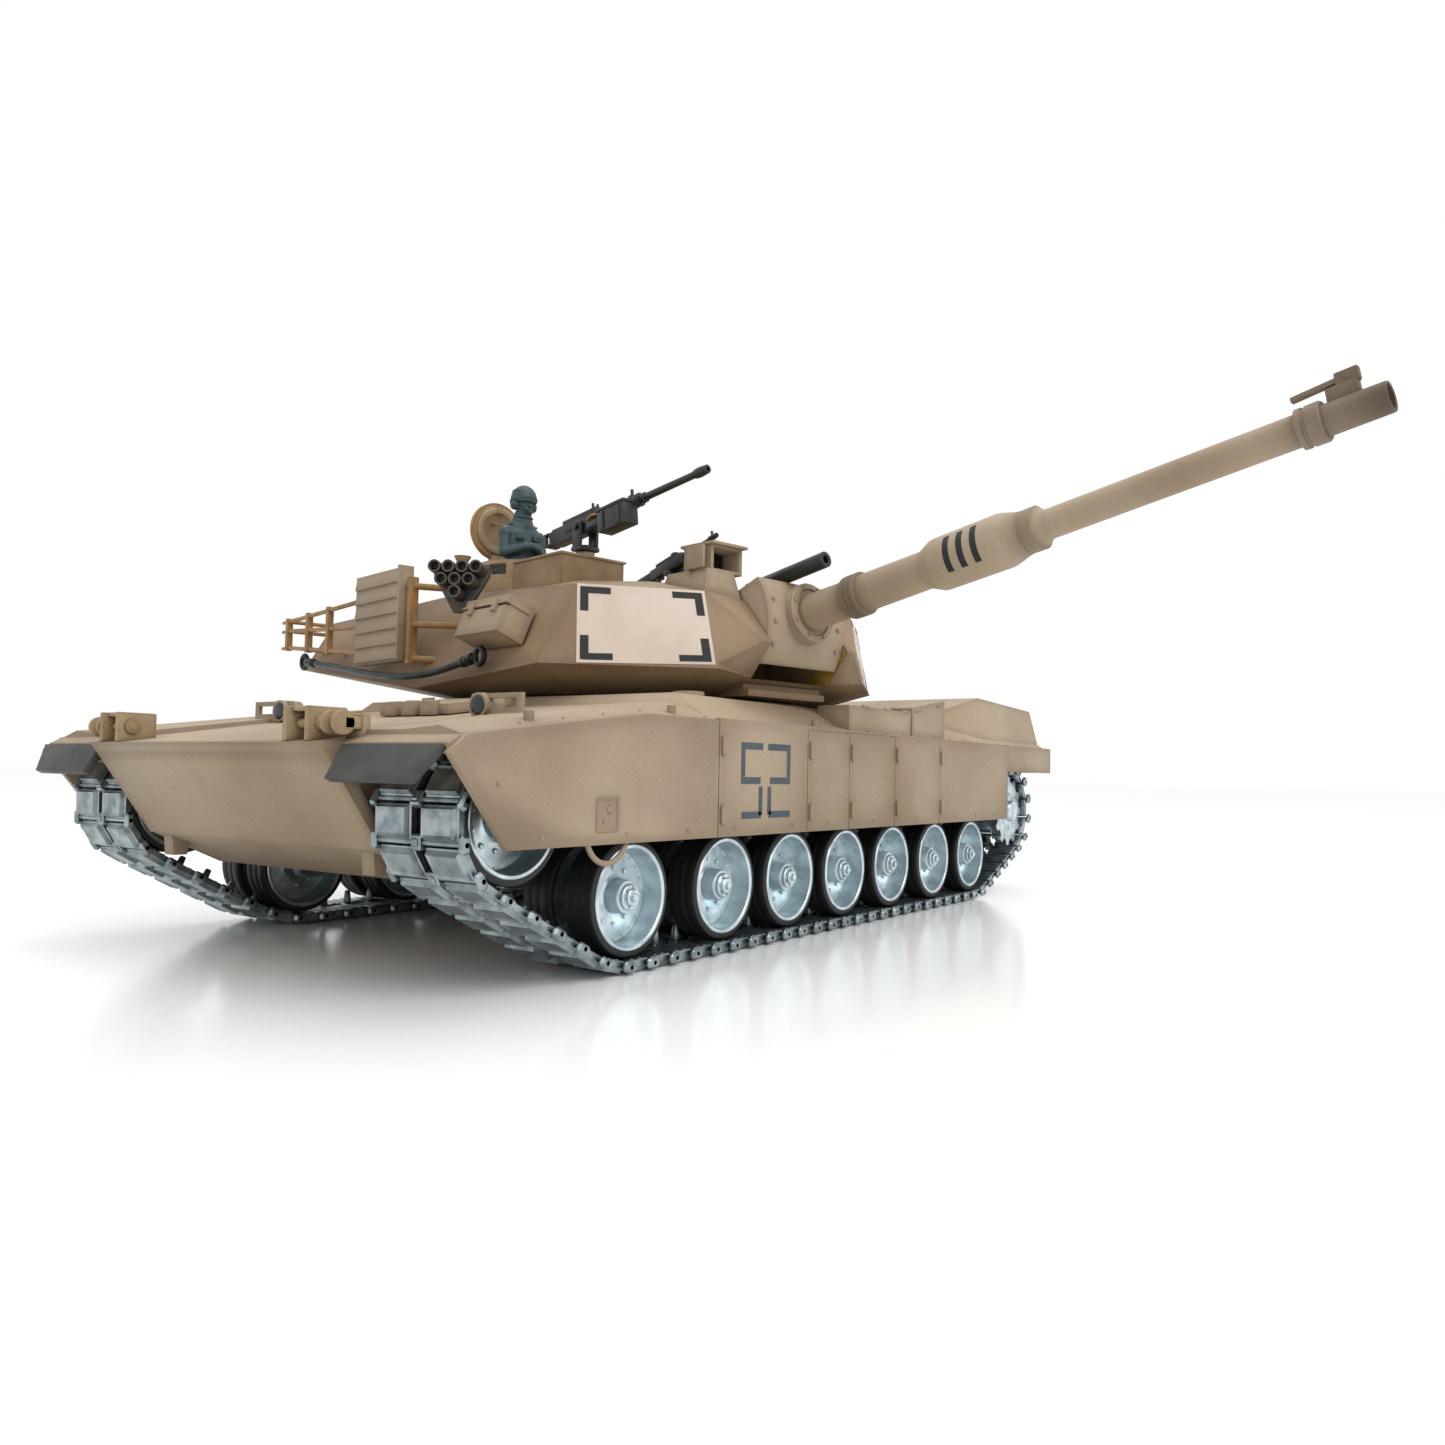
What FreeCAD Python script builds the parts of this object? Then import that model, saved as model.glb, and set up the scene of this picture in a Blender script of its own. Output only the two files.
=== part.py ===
import FreeCAD, Part
import math
import os

# One-sixteenth scale radio-controlled battle tank, millimetres, +Z up.
# The hull points along +X and its left side is +Y. The origin is on the ground,
# midway along the road wheels. The turret is modelled pointing along +X on its
# own axis and then turned to its rest angle; the gun is raised the same way.

Vec = FreeCAD.Vector
axis_x = Vec(1, 0, 0)
axis_y = Vec(0, 1, 0)
axis_z = Vec(0, 0, 1)

# Rest pose
turret_yaw = 78.5
gun_elevation = 10.6
heavy_mg_pitch = 7.0
light_mg_pitch = 16.0

# Clearances
running_gap = 0.05
seat_gap = 0.05
body_gap = 0.4
track_gap = 0.3

# Hull
hull_half = 112.0
tub_half = 64.0
tub_wall = 2.5
belly_z = 29.0
sponson_z = 70.0
nose_x = 238.0
nose_z = 73.0
bow_low_x = 215.6
bow_low_z = 41.0
bow_half = 66.0
deck_z = 96.0
deck_front_x = 104.0
fender_z = 85.0
fender_front_x = 226.0
fender_front_z = 75.4
fender_break_x = 150.6
rear_x = -239.0
ramp_front_x = -104.0
ramp_rear_x = -155.0
engine_deck_z = 111.0
engine_rear_z = 108.0
engine_half = 103.0
deck_half = 88.0
deck_wall = 4.0

# Side skirts
skirt_thick = 2.2
skirt_low_z = 43.4
skirt_seams = [110.5, 49.2, 14.5, -29.1, -78.5, -173.0]
skirt_gap = 0.5

# Track and running gear
wheel_x = [145.5, 91.5, 45.5, -0.5, -46.5, -94.5, -142.5]
wheel_z = 24.5
wheel_face_y = 104.7
wheel_width = 12.5
rim_radius = 17.6
tyre_radius = 19.7
rim_wall = 1.5
axle_radius = 2.0
hub_radius = 5.6
track_centre_y = 89.2
track_width = 39.7
track_pitch = 12.1
track_outer = 2.6
track_inner = 1.9
horn_height = 5.6
bend_lead = 5.0
sprocket_x = -202.0
sprocket_z = 47.0
sprocket_teeth = 12
shaft_radius = 4.0
idler_x_nominal = 197.5
idler_z = 51.5
roller_x = [68.5, -70.5]
roller_radius = 9.5

# Turret
ring_x = 8.4
ring_radius = 72.0
ring_low_z = 88.0
turret_floor_z = 98.0
belt_z = 108.0
roof_front_z = 140.0
roof_z = 147.0
cheek_front = 96.5
slot_half = 24.0
slot_back = 54.0
slot_floor_z = 105.6
side_half = 105.0
roof_half = 88.0
bustle_rear = -165.0
bustle_low_z = 117.0

# Gun
trunnion_x = 72.6
trunnion_z = 128.5
muzzle_reach = 256.0
mantlet_radius = 30.5
mantlet_top_angle = 27.0
mantlet_low_angle = 40.0
pin_radius = 3.0
barrel_root = 22.0
barrel_root_radius = 7.0
gun_bore_radius = 3.7

# Roof
cupola_x = -34.0
cupola_y = -54.0
cupola_radius = 20.0
cupola_top_z = 163.5
hatch_radius = 14.0
hatch_thick = 2.4
loader_x = -24.0
loader_y = 46.0
box_top_z = 161.5
box_front = 22.0
pintle_x = 17.0
heavy_pivot_z = 175.0
light_pintle_x = -8.0
light_pintle_y = 17.0
light_pivot_z = 171.0

# Stowage and tow cable
cable_radius = 1.5
rod_radius = 1.1
rack_front = -40.0
rack_rear = -178.0
rack_posts = [-127.0, -152.0]
rail_end = 8.0
locker_front = -44.5
locker_rear = -91.0


def box(x0, x1, y0, y1, z0, z1):
    return Part.makeBox(x1 - x0, y1 - y0, z1 - z0, Vec(x0, y0, z0))


def rod(start, end, radius):
    """Round bar between two points."""
    line = Vec(*end) - Vec(*start)
    return Part.makeCylinder(radius, line.Length, Vec(*start), line)


def disc_y(radius, y0, y1, x=0.0, z=0.0):
    return Part.makeCylinder(radius, y1 - y0, Vec(x, y0, z), axis_y)


def disc_z(radius, z0, z1, x=0.0, y=0.0):
    return Part.makeCylinder(radius, z1 - z0, Vec(x, y, z0), axis_z)


def fuse(shapes):
    joined = shapes[0].fuse(shapes[1:])
    return joined.removeSplitter()


def cut(shape, tools):
    for tool in tools:
        shape = shape.cut(tool)
    return shape


def face(points):
    return Part.Face(Part.makePolygon(points + [points[0]]))


def prism_y(outline, y0, y1):
    """Side outline of (x, z) points pushed across the width."""
    return face([Vec(x, y0, z) for x, z in outline]).extrude(Vec(0, y1 - y0, 0))


def prism_x(outline, x0, x1):
    """Cross-section of (y, z) points pushed along the length."""
    return face([Vec(x0, y, z) for y, z in outline]).extrude(Vec(x1 - x0, 0, 0))


def prism_z(outline, z0, z1):
    """Plan outline of (x, y) points pushed upwards."""
    return face([Vec(x, y, z0) for x, y in outline]).extrude(Vec(0, 0, z1 - z0))


def flat_enough(points):
    normal = (points[1] - points[0]).cross(points[2] - points[0])
    if normal.Length < 1e-6:
        return True
    return abs((points[3] - points[0]).dot(normal.normalize())) < 1e-4


def cap(points):
    """Flat end face, or strips across when a mirrored outline isn't flat."""
    normal = (points[1] - points[0]).cross(points[-1] - points[0]).normalize()
    if max(abs((point - points[0]).dot(normal)) for point in points) < 1e-6:
        return [face(points)]
    last = len(points) - 1
    strips = []
    for i in range(len(points) // 2 - 1):
        strips.append(face([points[i], points[i + 1], points[last - i - 1], points[last - i]]))
    return strips


def skin(sections):
    """Closed faceted solid through matching sections of points."""
    faces = cap(sections[0]) + cap(sections[-1])
    count = len(sections[0])
    for low, high in zip(sections, sections[1:]):
        for i in range(count):
            j = (i + 1) % count
            quad = [low[i], low[j], high[j], high[i]]
            if flat_enough(quad):
                faces.append(face(quad))
            else:
                faces.append(face([quad[0], quad[1], quad[2]]))
                faces.append(face([quad[0], quad[2], quad[3]]))
    solid = Part.Solid(Part.Shell(faces))
    if solid.Volume < 0:
        solid.reverse()
    return solid


def mirror_y(shape):
    return shape.mirror(Vec(0, 0, 0), axis_y)


def both_sides(shape):
    return [shape, mirror_y(shape)]


def turned(shape, centre, axis, angle):
    copy = shape.copy()
    copy.rotate(centre, axis, angle)
    return copy


def on_turret(shape):
    """From the turret's own frame to its rest place on the hull."""
    placed = turned(shape, Vec(0, 0, 0), axis_z, turret_yaw)
    placed.translate(Vec(ring_x, 0, 0))
    return placed


def on_gun(shape):
    """Raise a piece modelled level about the trunnion, then place it."""
    raised = turned(shape, Vec(trunnion_x, 0, trunnion_z), axis_y, -gun_elevation)
    return on_turret(raised)


nodes = {}


def keep(name, shapes):
    solids = shapes if isinstance(shapes, list) else [shapes]
    nodes[name] = Part.makeCompound(solids)


# ---------------------------------------------------------------- hull

def fender_profile_z(x):
    """Top of the fender's outer edge at a station along the hull."""
    if x >= fender_front_x:
        return fender_front_z
    if x >= fender_break_x:
        share = (fender_front_x - x) / (fender_front_x - fender_break_x)
        return fender_front_z + share * (fender_z - fender_front_z)
    return fender_z


def glacis_z(x):
    share = (nose_x - x) / (nose_x - deck_front_x)
    return nose_z + share * (deck_z - 3.0 - nose_z)


def engine_z(x):
    """Centre height of the engine deck, falling gently to the rear."""
    share = (ramp_rear_x - x) / (ramp_rear_x - rear_x)
    return engine_deck_z + share * (engine_rear_z - engine_deck_z)


def deck_section(x, centre_z, edge_z, top_half=deck_half):
    """Cross-section of the upper hull, seen from the front."""
    half = [
        (hull_half, sponson_z),
        (hull_half, edge_z),
        (hull_half - (hull_half - top_half) / 2.4, edge_z + 2.5),
        (top_half, centre_z),
    ]
    other = [(-y, z) for y, z in reversed(half)]
    return [Vec(x, y, z) for y, z in half + other]


def upper_hull():
    """Deck, glacis and sponsons over the tracks, hollow, with the turret ring hole."""
    stations = [
        (rear_x, engine_rear_z, fender_z, engine_half),
        (ramp_rear_x, engine_deck_z, fender_z, engine_half),
        (ramp_front_x, deck_z, fender_z),
        (deck_front_x, deck_z, fender_z),
        (deck_front_x + 4.0, glacis_z(deck_front_x + 4.0), fender_z),
        (fender_break_x, glacis_z(fender_break_x) + 1.5, fender_z),
        (fender_front_x, glacis_z(fender_front_x) + 2.0, fender_front_z),
    ]
    body = skin([deck_section(*station) for station in stations])
    nose = prism_y(
        [
            (fender_front_x - 30.0, sponson_z),
            (nose_x - 2.3, sponson_z),
            (nose_x, nose_z),
            (fender_front_x - 30.0, glacis_z(fender_front_x - 30.0)),
        ],
        -bow_half,
        bow_half,
    )
    glacis_dip = prism_y(
        [
            (nose_x + 1.0, glacis_z(nose_x + 1.0)),
            (nose_x + 1.0, nose_z + 20.0),
            (deck_front_x + 4.0, nose_z + 40.0),
            (deck_front_x + 4.0, glacis_z(deck_front_x + 4.0)),
        ],
        -bow_half + 1.0,
        bow_half - 1.0,
    )
    body = fuse([body.cut(glacis_dip), nose])
    inner = tub_half - tub_wall
    channel = track_channel()
    cavities = [
        channel,
        mirror_y(channel),
        box(ramp_front_x, deck_front_x - 10.0, -inner, inner, sponson_z - 1.0, deck_z - deck_wall),
        box(rear_x + 8.0, ramp_front_x, -inner, inner, sponson_z - 1.0, deck_z - deck_wall - 2.0),
        box(deck_front_x - 10.0, 190.0, -inner, inner, sponson_z - 1.0, sponson_z + 4.0),
        disc_z(ring_radius, sponson_z - 1.0, deck_z + 1.0, ring_x),
        disc_z(ring_radius + 4.5, sponson_z + 1.0, deck_z - deck_wall, ring_x),
    ]
    body = cut(body, cavities)
    return fuse([body] + deck_fittings())


def track_channel():
    """Space under one sponson for the top run of the track and the idler's front."""
    ceiling = idler_z + wrap_radius() + track_outer + 1.2
    bend_x = idler_x_nominal - 1.0
    outline = [
        (rear_x + 6.0, sponson_z - 1.0),
        (rear_x + 6.0, ceiling),
        (bend_x, ceiling),
        (bend_x + 26.0, ceiling - 6.5),
        (bend_x + 26.0, sponson_z - 1.0),
    ]
    return prism_y(outline, tub_half + 3.0, hull_half - 1.4)


def deck_fittings():
    """Lifting lugs, light guards, fuel caps, lockers and louvres moulded on the deck."""
    pieces = []
    for side in (-1, 1):
        for x in (196.0, 128.0, 30.0, -20.0, -64.0):
            z = fender_profile_z(x)
            pieces.append(rod((x, side * 106.0, z - 1.0), (x, side * 106.0, z + 4.2), 1.6))
        lamp_x = 169.0
        lamp_z = glacis_z(lamp_x) - 1.0
        guard = box(lamp_x - 0.8, lamp_x + 0.8, -12.0, 12.0, lamp_z, lamp_z + 9.4)
        guard = guard.cut(box(lamp_x - 2.0, lamp_x + 2.0, -9.6, 9.6, lamp_z + 4.4, lamp_z + 7.6))
        guard.translate(Vec(0, side * 64.0, 0))
        pieces.append(guard)
        lamp_back = (lamp_x - 6.0, side * 57.0, lamp_z + 5.4)
        pieces.append(rod(lamp_back, (lamp_x + 2.6, side * 57.0, lamp_z + 5.4), 4.3))
        pieces.append(disc_z(6.2, deck_z - 6.0, deck_z + 1.8, 84.0, side * 80.0))
        locker = box(-58.0, 4.0, -8.0, 8.0, fender_z - 1.0, deck_z + 1.2)
        locker.translate(Vec(0, side * 100.0, 0))
        pieces.append(locker)
        rear_locker = prism_y(
            [(-98.0, fender_z - 1.0), (-98.0, deck_z + 9.4), (-60.0, deck_z + 3.6), (-60.0, fender_z - 1.0)],
            side * 100.0 - 8.0,
            side * 100.0 + 8.0,
        )
        pieces.append(rear_locker)
    for row in range(6):
        x = ramp_rear_x - 14.0 - row * 9.0
        pieces.append(box(x - 3.0, x + 3.0, -70.0, 70.0, engine_z(x) - 1.5, engine_z(x) + 0.9))
    return pieces


def lower_hull():
    """Open tub with the bow plate, wheel arches' flat sides and holes for the shafts."""
    outline = [
        (nose_x - 2.3, sponson_z),
        (bow_low_x, bow_low_z),
        (bow_low_x - 26.0, belly_z),
        (-198.0, belly_z),
        (-224.0, bow_low_z + 3.0),
        (rear_x, sponson_z),
    ]
    tub = prism_y(outline, -tub_half, tub_half)
    bow = prism_y(
        [
            (nose_x - 2.3, sponson_z),
            (bow_low_x, bow_low_z),
            (bow_low_x - 4.0, bow_low_z),
            (nose_x - 8.0, sponson_z),
        ],
        -bow_half,
        bow_half,
    )
    inner = [
        (nose_x - 7.0, sponson_z + 1.0),
        (nose_x - 7.0, sponson_z - 0.6),
        (bow_low_x - 2.5, bow_low_z + tub_wall),
        (bow_low_x - 27.0, belly_z + tub_wall),
        (-197.0, belly_z + tub_wall),
        (-221.0, bow_low_z + 3.0 + tub_wall),
        (rear_x + 3.0, sponson_z - 0.6),
        (rear_x + 3.0, sponson_z + 1.0),
    ]
    hollow = prism_y(inner, -tub_half + tub_wall, tub_half - tub_wall)
    shaft_hole = disc_y(shaft_radius + running_gap, -tub_half - 1.0, tub_half + 1.0, sprocket_x, sprocket_z)
    hatch_hole = box(-62.0, 62.0, -27.0, 27.0, belly_z - 1.0, belly_z + tub_wall + 1.0)
    hooks = []
    for side in (-1, 1):
        hook = prism_y([(206.0, 44.0), (214.0, 42.0), (213.0, 33.0), (208.0, 33.0)], -3.0, 3.0)
        hook.translate(Vec(0, side * 57.0, 0))
        hooks.append(hook)
    tub = fuse([tub, bow] + hooks)
    return cut(tub, [hollow, shaft_hole, hatch_hole])


def skirt_panel(x_front, x_rear, z_front, z_rear):
    outline = [(x_front, skirt_low_z), (x_front, z_front), (x_rear, z_rear), (x_rear, skirt_low_z)]
    return prism_y(outline, hull_half, hull_half + skirt_thick)


def side_skirt():
    """Armour panels along one side, a narrow slit between neighbours."""
    slit = skirt_gap / 2.0
    front = prism_y(
        [
            (210.8, skirt_low_z),
            (232.4, 70.4),
            (fender_front_x, fender_front_z),
            (fender_break_x, fender_z),
            (skirt_seams[0] + slit, fender_z),
            (skirt_seams[0] + slit, skirt_low_z),
        ],
        hull_half,
        hull_half + skirt_thick,
    )
    step = box(164.9, 173.8, hull_half + 0.8, hull_half + skirt_thick + 1.0, 48.1, 57.2)
    panels = [front.cut(step)]
    tops = [fender_z + 0.4, fender_z + 0.7, fender_z - 1.3, fender_z - 1.0, fender_z - 0.7, fender_z - 0.5]
    for i, (seam_front, seam_rear) in enumerate(zip(skirt_seams, skirt_seams[1:])):
        panels.append(skirt_panel(seam_front - slit, seam_rear + slit, tops[i + 1], tops[i + 1]))
    hinge_reach = 1.0
    outer = hull_half + skirt_thick
    for seam in skirt_seams[:5]:
        for z in (skirt_low_z + 5.0, fender_z - 12.0):
            x = seam - slit - 1.6
            panels.append(box(x - 1.4, x + 0.8, outer, outer + hinge_reach, z, z + 6.0))
    tail = box(-246.0, skirt_seams[-1] - slit, hull_half - 14.0, outer, sponson_z, fender_z)
    tail = tail.cut(box(rear_x - 0.05, 0.0, hull_half - 20.0, hull_half, sponson_z - 1.0, fender_z + 1.0))
    panels.append(tail)
    loop = Part.makeTorus(9.6, 0.9, Vec(168.0, hull_half + 1.0, skirt_low_z + 3.6), axis_y)
    loop = loop.cut(box(150.0, 186.0, hull_half - 4.0, hull_half + 6.0, skirt_low_z, skirt_low_z + 20.0))
    panels.append(loop)
    return panels


def front_mudflap():
    """Rubber flap hanging from one front fender."""
    outline = [
        Vec(232.7, 69.2, 72.6),
        Vec(238.4, 69.2, 62.7),
        Vec(238.4, 105.0, 62.7),
        Vec(232.7, 111.4, 72.6),
    ]
    return face(outline).extrude(Vec(-2.4, 0, -1.2))


def fender_lip():
    """Down-turned front edge of one fender between the bow and the skirt."""
    return prism_y(
        [
            (fender_front_x, sponson_z),
            (fender_front_x, fender_front_z),
            (231.0, 72.9),
            (231.0, 71.2),
        ],
        bow_half,
        hull_half,
    )


def tow_shackle():
    """Clevis bracket with its pin and bow, on one side of the nose."""
    y = 54.0
    ears = []
    for offset in (-6.0, 3.6):
        outline = [(225.5, 74.6), (225.5, 81.0), (231.5, 84.0), (238.0, 81.0), (238.0, 72.8)]
        ears.append(prism_y(outline, y + offset, y + offset + 2.4))
    pin = rod((232.5, y - 8.2, 79.2), (232.5, y + 8.2, 79.2), 1.7)
    bow = Part.makeTorus(6.2, 1.5, Vec(232.5, y + 12.0, 79.6), axis_x)
    bow = bow.cut(box(220.0, 240.0, y + 12.0, y + 30.0, 70.0, 90.0))
    head = disc_y(2.7, y + 6.4, y + 8.0, 232.5, 79.2)
    return fuse(ears + [pin, head]).cut(bow), bow


def rear_grille():
    """Louvred exhaust doors and lamps on the back of the hull."""
    frame = box(rear_x - 3.0, rear_x, -76.0, 76.0, 62.0, 104.0)
    frame = frame.cut(box(rear_x - 4.0, rear_x - 1.0, -48.0, 48.0, 66.0, 100.0))
    slats = []
    for row in range(8):
        z = 66.6 + row * 4.2
        slats.append(prism_y([(rear_x - 1.0, z), (rear_x - 2.8, z), (rear_x - 1.0, z + 2.4)], -48.0, 48.0))
    lamps = []
    for side in (-1, 1):
        lamps.append(rod((rear_x - 3.0, side * 64.0, 92.0), (rear_x - 5.0, side * 64.0, 92.0), 5.0))
        lamps.append(box(rear_x - 5.5, rear_x - 3.0, side * 64.0 - 5.0, side * 64.0 + 5.0, 68.0, 80.0))
    return fuse([frame] + slats + lamps)


def hull_internals(tub):
    """Battery, board, motors and loudspeaker fixed inside the tub."""
    floor_z = belly_z + tub_wall
    flange_z = floor_z + 1.2
    plug = box(-61.5, 61.5, -26.5, 26.5, belly_z, floor_z)
    cover = fuse([plug, box(-66.0, 66.0, -31.0, 31.0, floor_z, flange_z)])
    keep("battery_cover", cover)
    pack = box(-52.0, 52.0, -22.0, 22.0, flange_z, flange_z + 23.5)
    keep("battery_pack", pack)
    board = [box(90.0, 165.0, -34.0, 34.0, floor_z + 8.0, floor_z + 9.6)]
    board.append(box(100.0, 118.0, -12.0, 6.0, floor_z + 9.6, floor_z + 13.0))
    board.append(box(140.0, 158.0, -28.0, -12.0, floor_z + 9.6, floor_z + 20.0))
    for x in (95.0, 160.0):
        for y in (-30.0, 30.0):
            board.append(disc_z(2.0, floor_z, floor_z + 8.0, x, y))
    keep("control_board", fuse(board))
    cone = disc_z(18.0, floor_z, floor_z + 7.0, -100.0)
    magnet = disc_z(11.0, floor_z + 7.0, floor_z + 15.0, -100.0)
    keep("speaker", fuse([cone, magnet]))
    case = box(sprocket_x - 16.0, sprocket_x + 30.0, 26.0, 58.0, bow_low_z - 2.0, sponson_z - 5.0)
    motor = rod((sprocket_x + 30.0, 42.0, 50.0), (sprocket_x + 72.0, 42.0, 50.0), 12.0)
    unit = fuse([case, motor])
    unit = unit.cut(disc_y(shaft_radius + running_gap, 38.0, 60.0, sprocket_x, sprocket_z))
    keep("drive_gearboxes", [piece.cut(tub) for piece in both_sides(unit)])
    drive = fuse([
        box(58.0, 74.0, 20.0, 44.0, 66.0, 82.0),
        disc_z(7.0, 58.0, 84.0, 66.0, 32.0),
        box(69.0, 75.0, 24.0, 40.0, floor_z, 70.0),
    ])
    keep("traverse_motor", drive)


# ---------------------------------------------------------------- track

def belt_path(circles):
    """Straight and arc pieces of a loop wrapped round circles, taken anticlockwise."""
    angles = []
    for i, (x, z, r) in enumerate(circles):
        nx, nz, nr = circles[(i + 1) % len(circles)]
        heading = math.atan2(nz - z, nx - x)
        angles.append(heading - math.acos((r - nr) / math.hypot(nx - x, nz - z)))
    pieces = []
    for i, (x, z, r) in enumerate(circles):
        start = angles[i - 1]
        sweep = (angles[i] - start) % (2.0 * math.pi)
        pieces.append(("arc", x, z, r, start, r * sweep))
        nx, nz, nr = circles[(i + 1) % len(circles)]
        a = (x + r * math.cos(angles[i]), z + r * math.sin(angles[i]))
        b = (nx + nr * math.cos(angles[i]), nz + nr * math.sin(angles[i]))
        pieces.append(("line", a[0], a[1], b[0], b[1], math.hypot(b[0] - a[0], b[1] - a[1])))
    return pieces


def path_point(pieces, distance):
    distance = distance % sum(piece[5] for piece in pieces)
    for kind, a, b, c, d, length in pieces:
        if distance <= length:
            break
        distance -= length
    if kind == "arc":
        turn = d + distance / c
        return a + c * math.cos(turn), b + c * math.sin(turn)
    share = distance / length
    return a + (c - a) * share, b + (d - b) * share


def wrap_radius():
    """Pin circle of a track wrapped round a road wheel or the idler."""
    return math.hypot(tyre_radius + track_gap + track_inner, track_pitch / 2.0)


def track_circles(idler_x):
    """Pitch circles: rear wheel, front wheel, idler and sprocket."""
    bend = wrap_radius()
    sprocket = track_pitch / (2.0 * math.sin(math.pi / sprocket_teeth))
    low = track_outer + bend
    return [
        (wheel_x[-1] - bend_lead, low, bend),
        (wheel_x[0] + bend_lead, low, bend),
        (idler_x, idler_z, bend),
        (sprocket_x, sprocket_z, sprocket),
    ]


def pin_places(idler_x, count):
    """Pins one chord apart along the loop, and how far the last overshoots the first."""
    pieces = belt_path(track_circles(idler_x))
    total = sum(piece[5] for piece in pieces)
    start = pieces[4][5] / 2.0 + sum(piece[5] for piece in pieces[:4])
    travelled = 0.0
    pins = []
    for _ in range(count):
        x, z = path_point(pieces, start + travelled)
        pins.append((x, z))
        low, high = track_pitch * 0.99, track_pitch * 1.2
        for _ in range(40):
            middle = (low + high) / 2.0
            nx, nz = path_point(pieces, start + travelled + middle)
            if math.hypot(nx - x, nz - z) < track_pitch:
                low = middle
            else:
                high = middle
        travelled += low
    return pins, travelled - total


def close_track():
    """Whole number of links, with the idler set forward until the loop closes."""
    pieces = belt_path(track_circles(idler_x_nominal))
    count = round(sum(piece[5] for piece in pieces) / (track_pitch * 1.004))
    near, far = idler_x_nominal - 9.0, idler_x_nominal + 9.0
    for _ in range(40):
        middle = (near + far) / 2.0
        pins, over = pin_places(middle, count)
        if over > 0.0:
            near = middle
        else:
            far = middle
    print("track links per side:", count, "idler x:", round(middle, 3), "misclosure:", round(over, 4))
    return middle, pins


def track_link():
    """One shoe: two pads, the hinge rod, end connectors and the centre guide horn."""
    half = track_width / 2.0
    reach = track_pitch / 2.0
    pads = []
    for side in (-1, 1):
        y0, y1 = sorted((side * 2.6, side * (half - 2.7)))
        body = prism_y(
            [
                (-reach + 0.45, -0.9),
                (-reach + 0.45, track_inner - 1.0),
                (-reach + 1.5, track_inner),
                (reach - 2.2, track_inner),
                (reach - 1.15, track_inner - 1.0),
                (reach - 1.15, -0.9),
            ],
            y0,
            y1,
        )
        pad = prism_y(
            [
                (-reach + 0.9, -0.9),
                (reach - 1.6, -0.9),
                (reach - 2.4, -track_outer),
                (-reach + 1.7, -track_outer),
            ],
            y0 + 0.6,
            y1 - 0.6,
        )
        pads.append(fuse([body, pad]))
    hinge = disc_y(0.8, -half + 0.6, half - 0.6, -reach)
    ends = []
    for side in (-1, 1):
        y0, y1 = sorted((side * (half - 2.3), side * half))
        ends.append(
            prism_y(
                [
                    (-reach - 2.9, -1.0),
                    (-reach - 1.9, -1.9),
                    (-reach + 1.9, -1.9),
                    (-reach + 2.9, -1.0),
                    (-reach + 2.9, 0.9),
                    (-reach + 1.9, 1.7),
                    (-reach - 1.9, 1.7),
                    (-reach - 2.9, 0.9),
                ],
                y0,
                y1,
            )
        )
    clip = box(-reach - 2.4, -reach + 2.4, -2.0, 2.0, -1.6, track_inner)
    sections = []
    for length, breadth, z in ((2.0, 1.9, track_inner), (1.0, 1.2, track_inner + horn_height)):
        corners = ((-length, -breadth), (length, -breadth), (length, breadth), (-length, breadth))
        sections.append([Vec(x - reach, y, z) for x, y in corners])
    horn = skin(sections)
    return fuse(pads + [hinge, clip, horn] + ends)


def track_loop(pins):
    link = track_link()
    links = []
    for (x0, z0), (x1, z1) in zip(pins, pins[1:] + pins[:1]):
        placed = turned(link, Vec(0, 0, 0), axis_y, -math.degrees(math.atan2(z1 - z0, x1 - x0)))
        placed.translate(Vec((x0 + x1) / 2.0, track_centre_y, (z0 + z1) / 2.0))
        links.append(placed)
    return links


# ---------------------------------------------------------------- wheels

def ring_y(outer, inner, y0, y1):
    return disc_y(outer, y0, y1).cut(disc_y(inner, y0 - 1.0, y1 + 1.0))


def road_wheel():
    """Twin dished rims on one hub, centred on the origin, outer face towards +Y."""
    half = (wheel_face_y - track_centre_y)
    metal = [disc_y(hub_radius, -half + 2.0, half - 0.6)]
    metal.append(disc_y(4.1, half - 0.8, half + 0.9))
    metal.append(disc_y(2.6, half + 0.7, half + 2.2))
    metal.append(disc_y(7.4, -half + wheel_width - 2.0, half - wheel_width + 2.0))
    for side in (-1, 1):
        y0, y1 = sorted((side * half, side * (half - wheel_width)))
        metal.append(ring_y(rim_radius, rim_radius - rim_wall, y0, y1))
        web0, web1 = sorted((side * (half - 8.4), side * (half - 10.2)))
        metal.append(disc_y(rim_radius - rim_wall + 0.2, web0, web1))
    for i in range(10):
        turn = math.radians(36.0 * i)
        x, z = 9.6 * math.cos(turn), 9.6 * math.sin(turn)
        metal.append(disc_y(0.75, half - 8.6, half - 7.2, x, z))
    rim = fuse(metal)
    rim = rim.cut(disc_y(axle_radius + running_gap, -half - 1.0, half - 5.0))
    tyres = []
    for side in (-1, 1):
        y0, y1 = sorted((side * (half - 0.3), side * (half - wheel_width)))
        tyres.append(ring_y(tyre_radius, rim_radius + seat_gap, y0, y1))
    return Part.makeCompound([rim] + tyres)


def return_roller():
    half = (wheel_face_y - track_centre_y) - 2.0
    metal = [disc_y(3.8, -half, half)]
    for side in (-1, 1):
        y0, y1 = sorted((side * half, side * (half - 8.0)))
        metal.append(disc_y(roller_radius, y0, y1))
    return fuse(metal).cut(disc_y(axle_radius + running_gap, -half - 1.0, half - 2.0))


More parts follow.
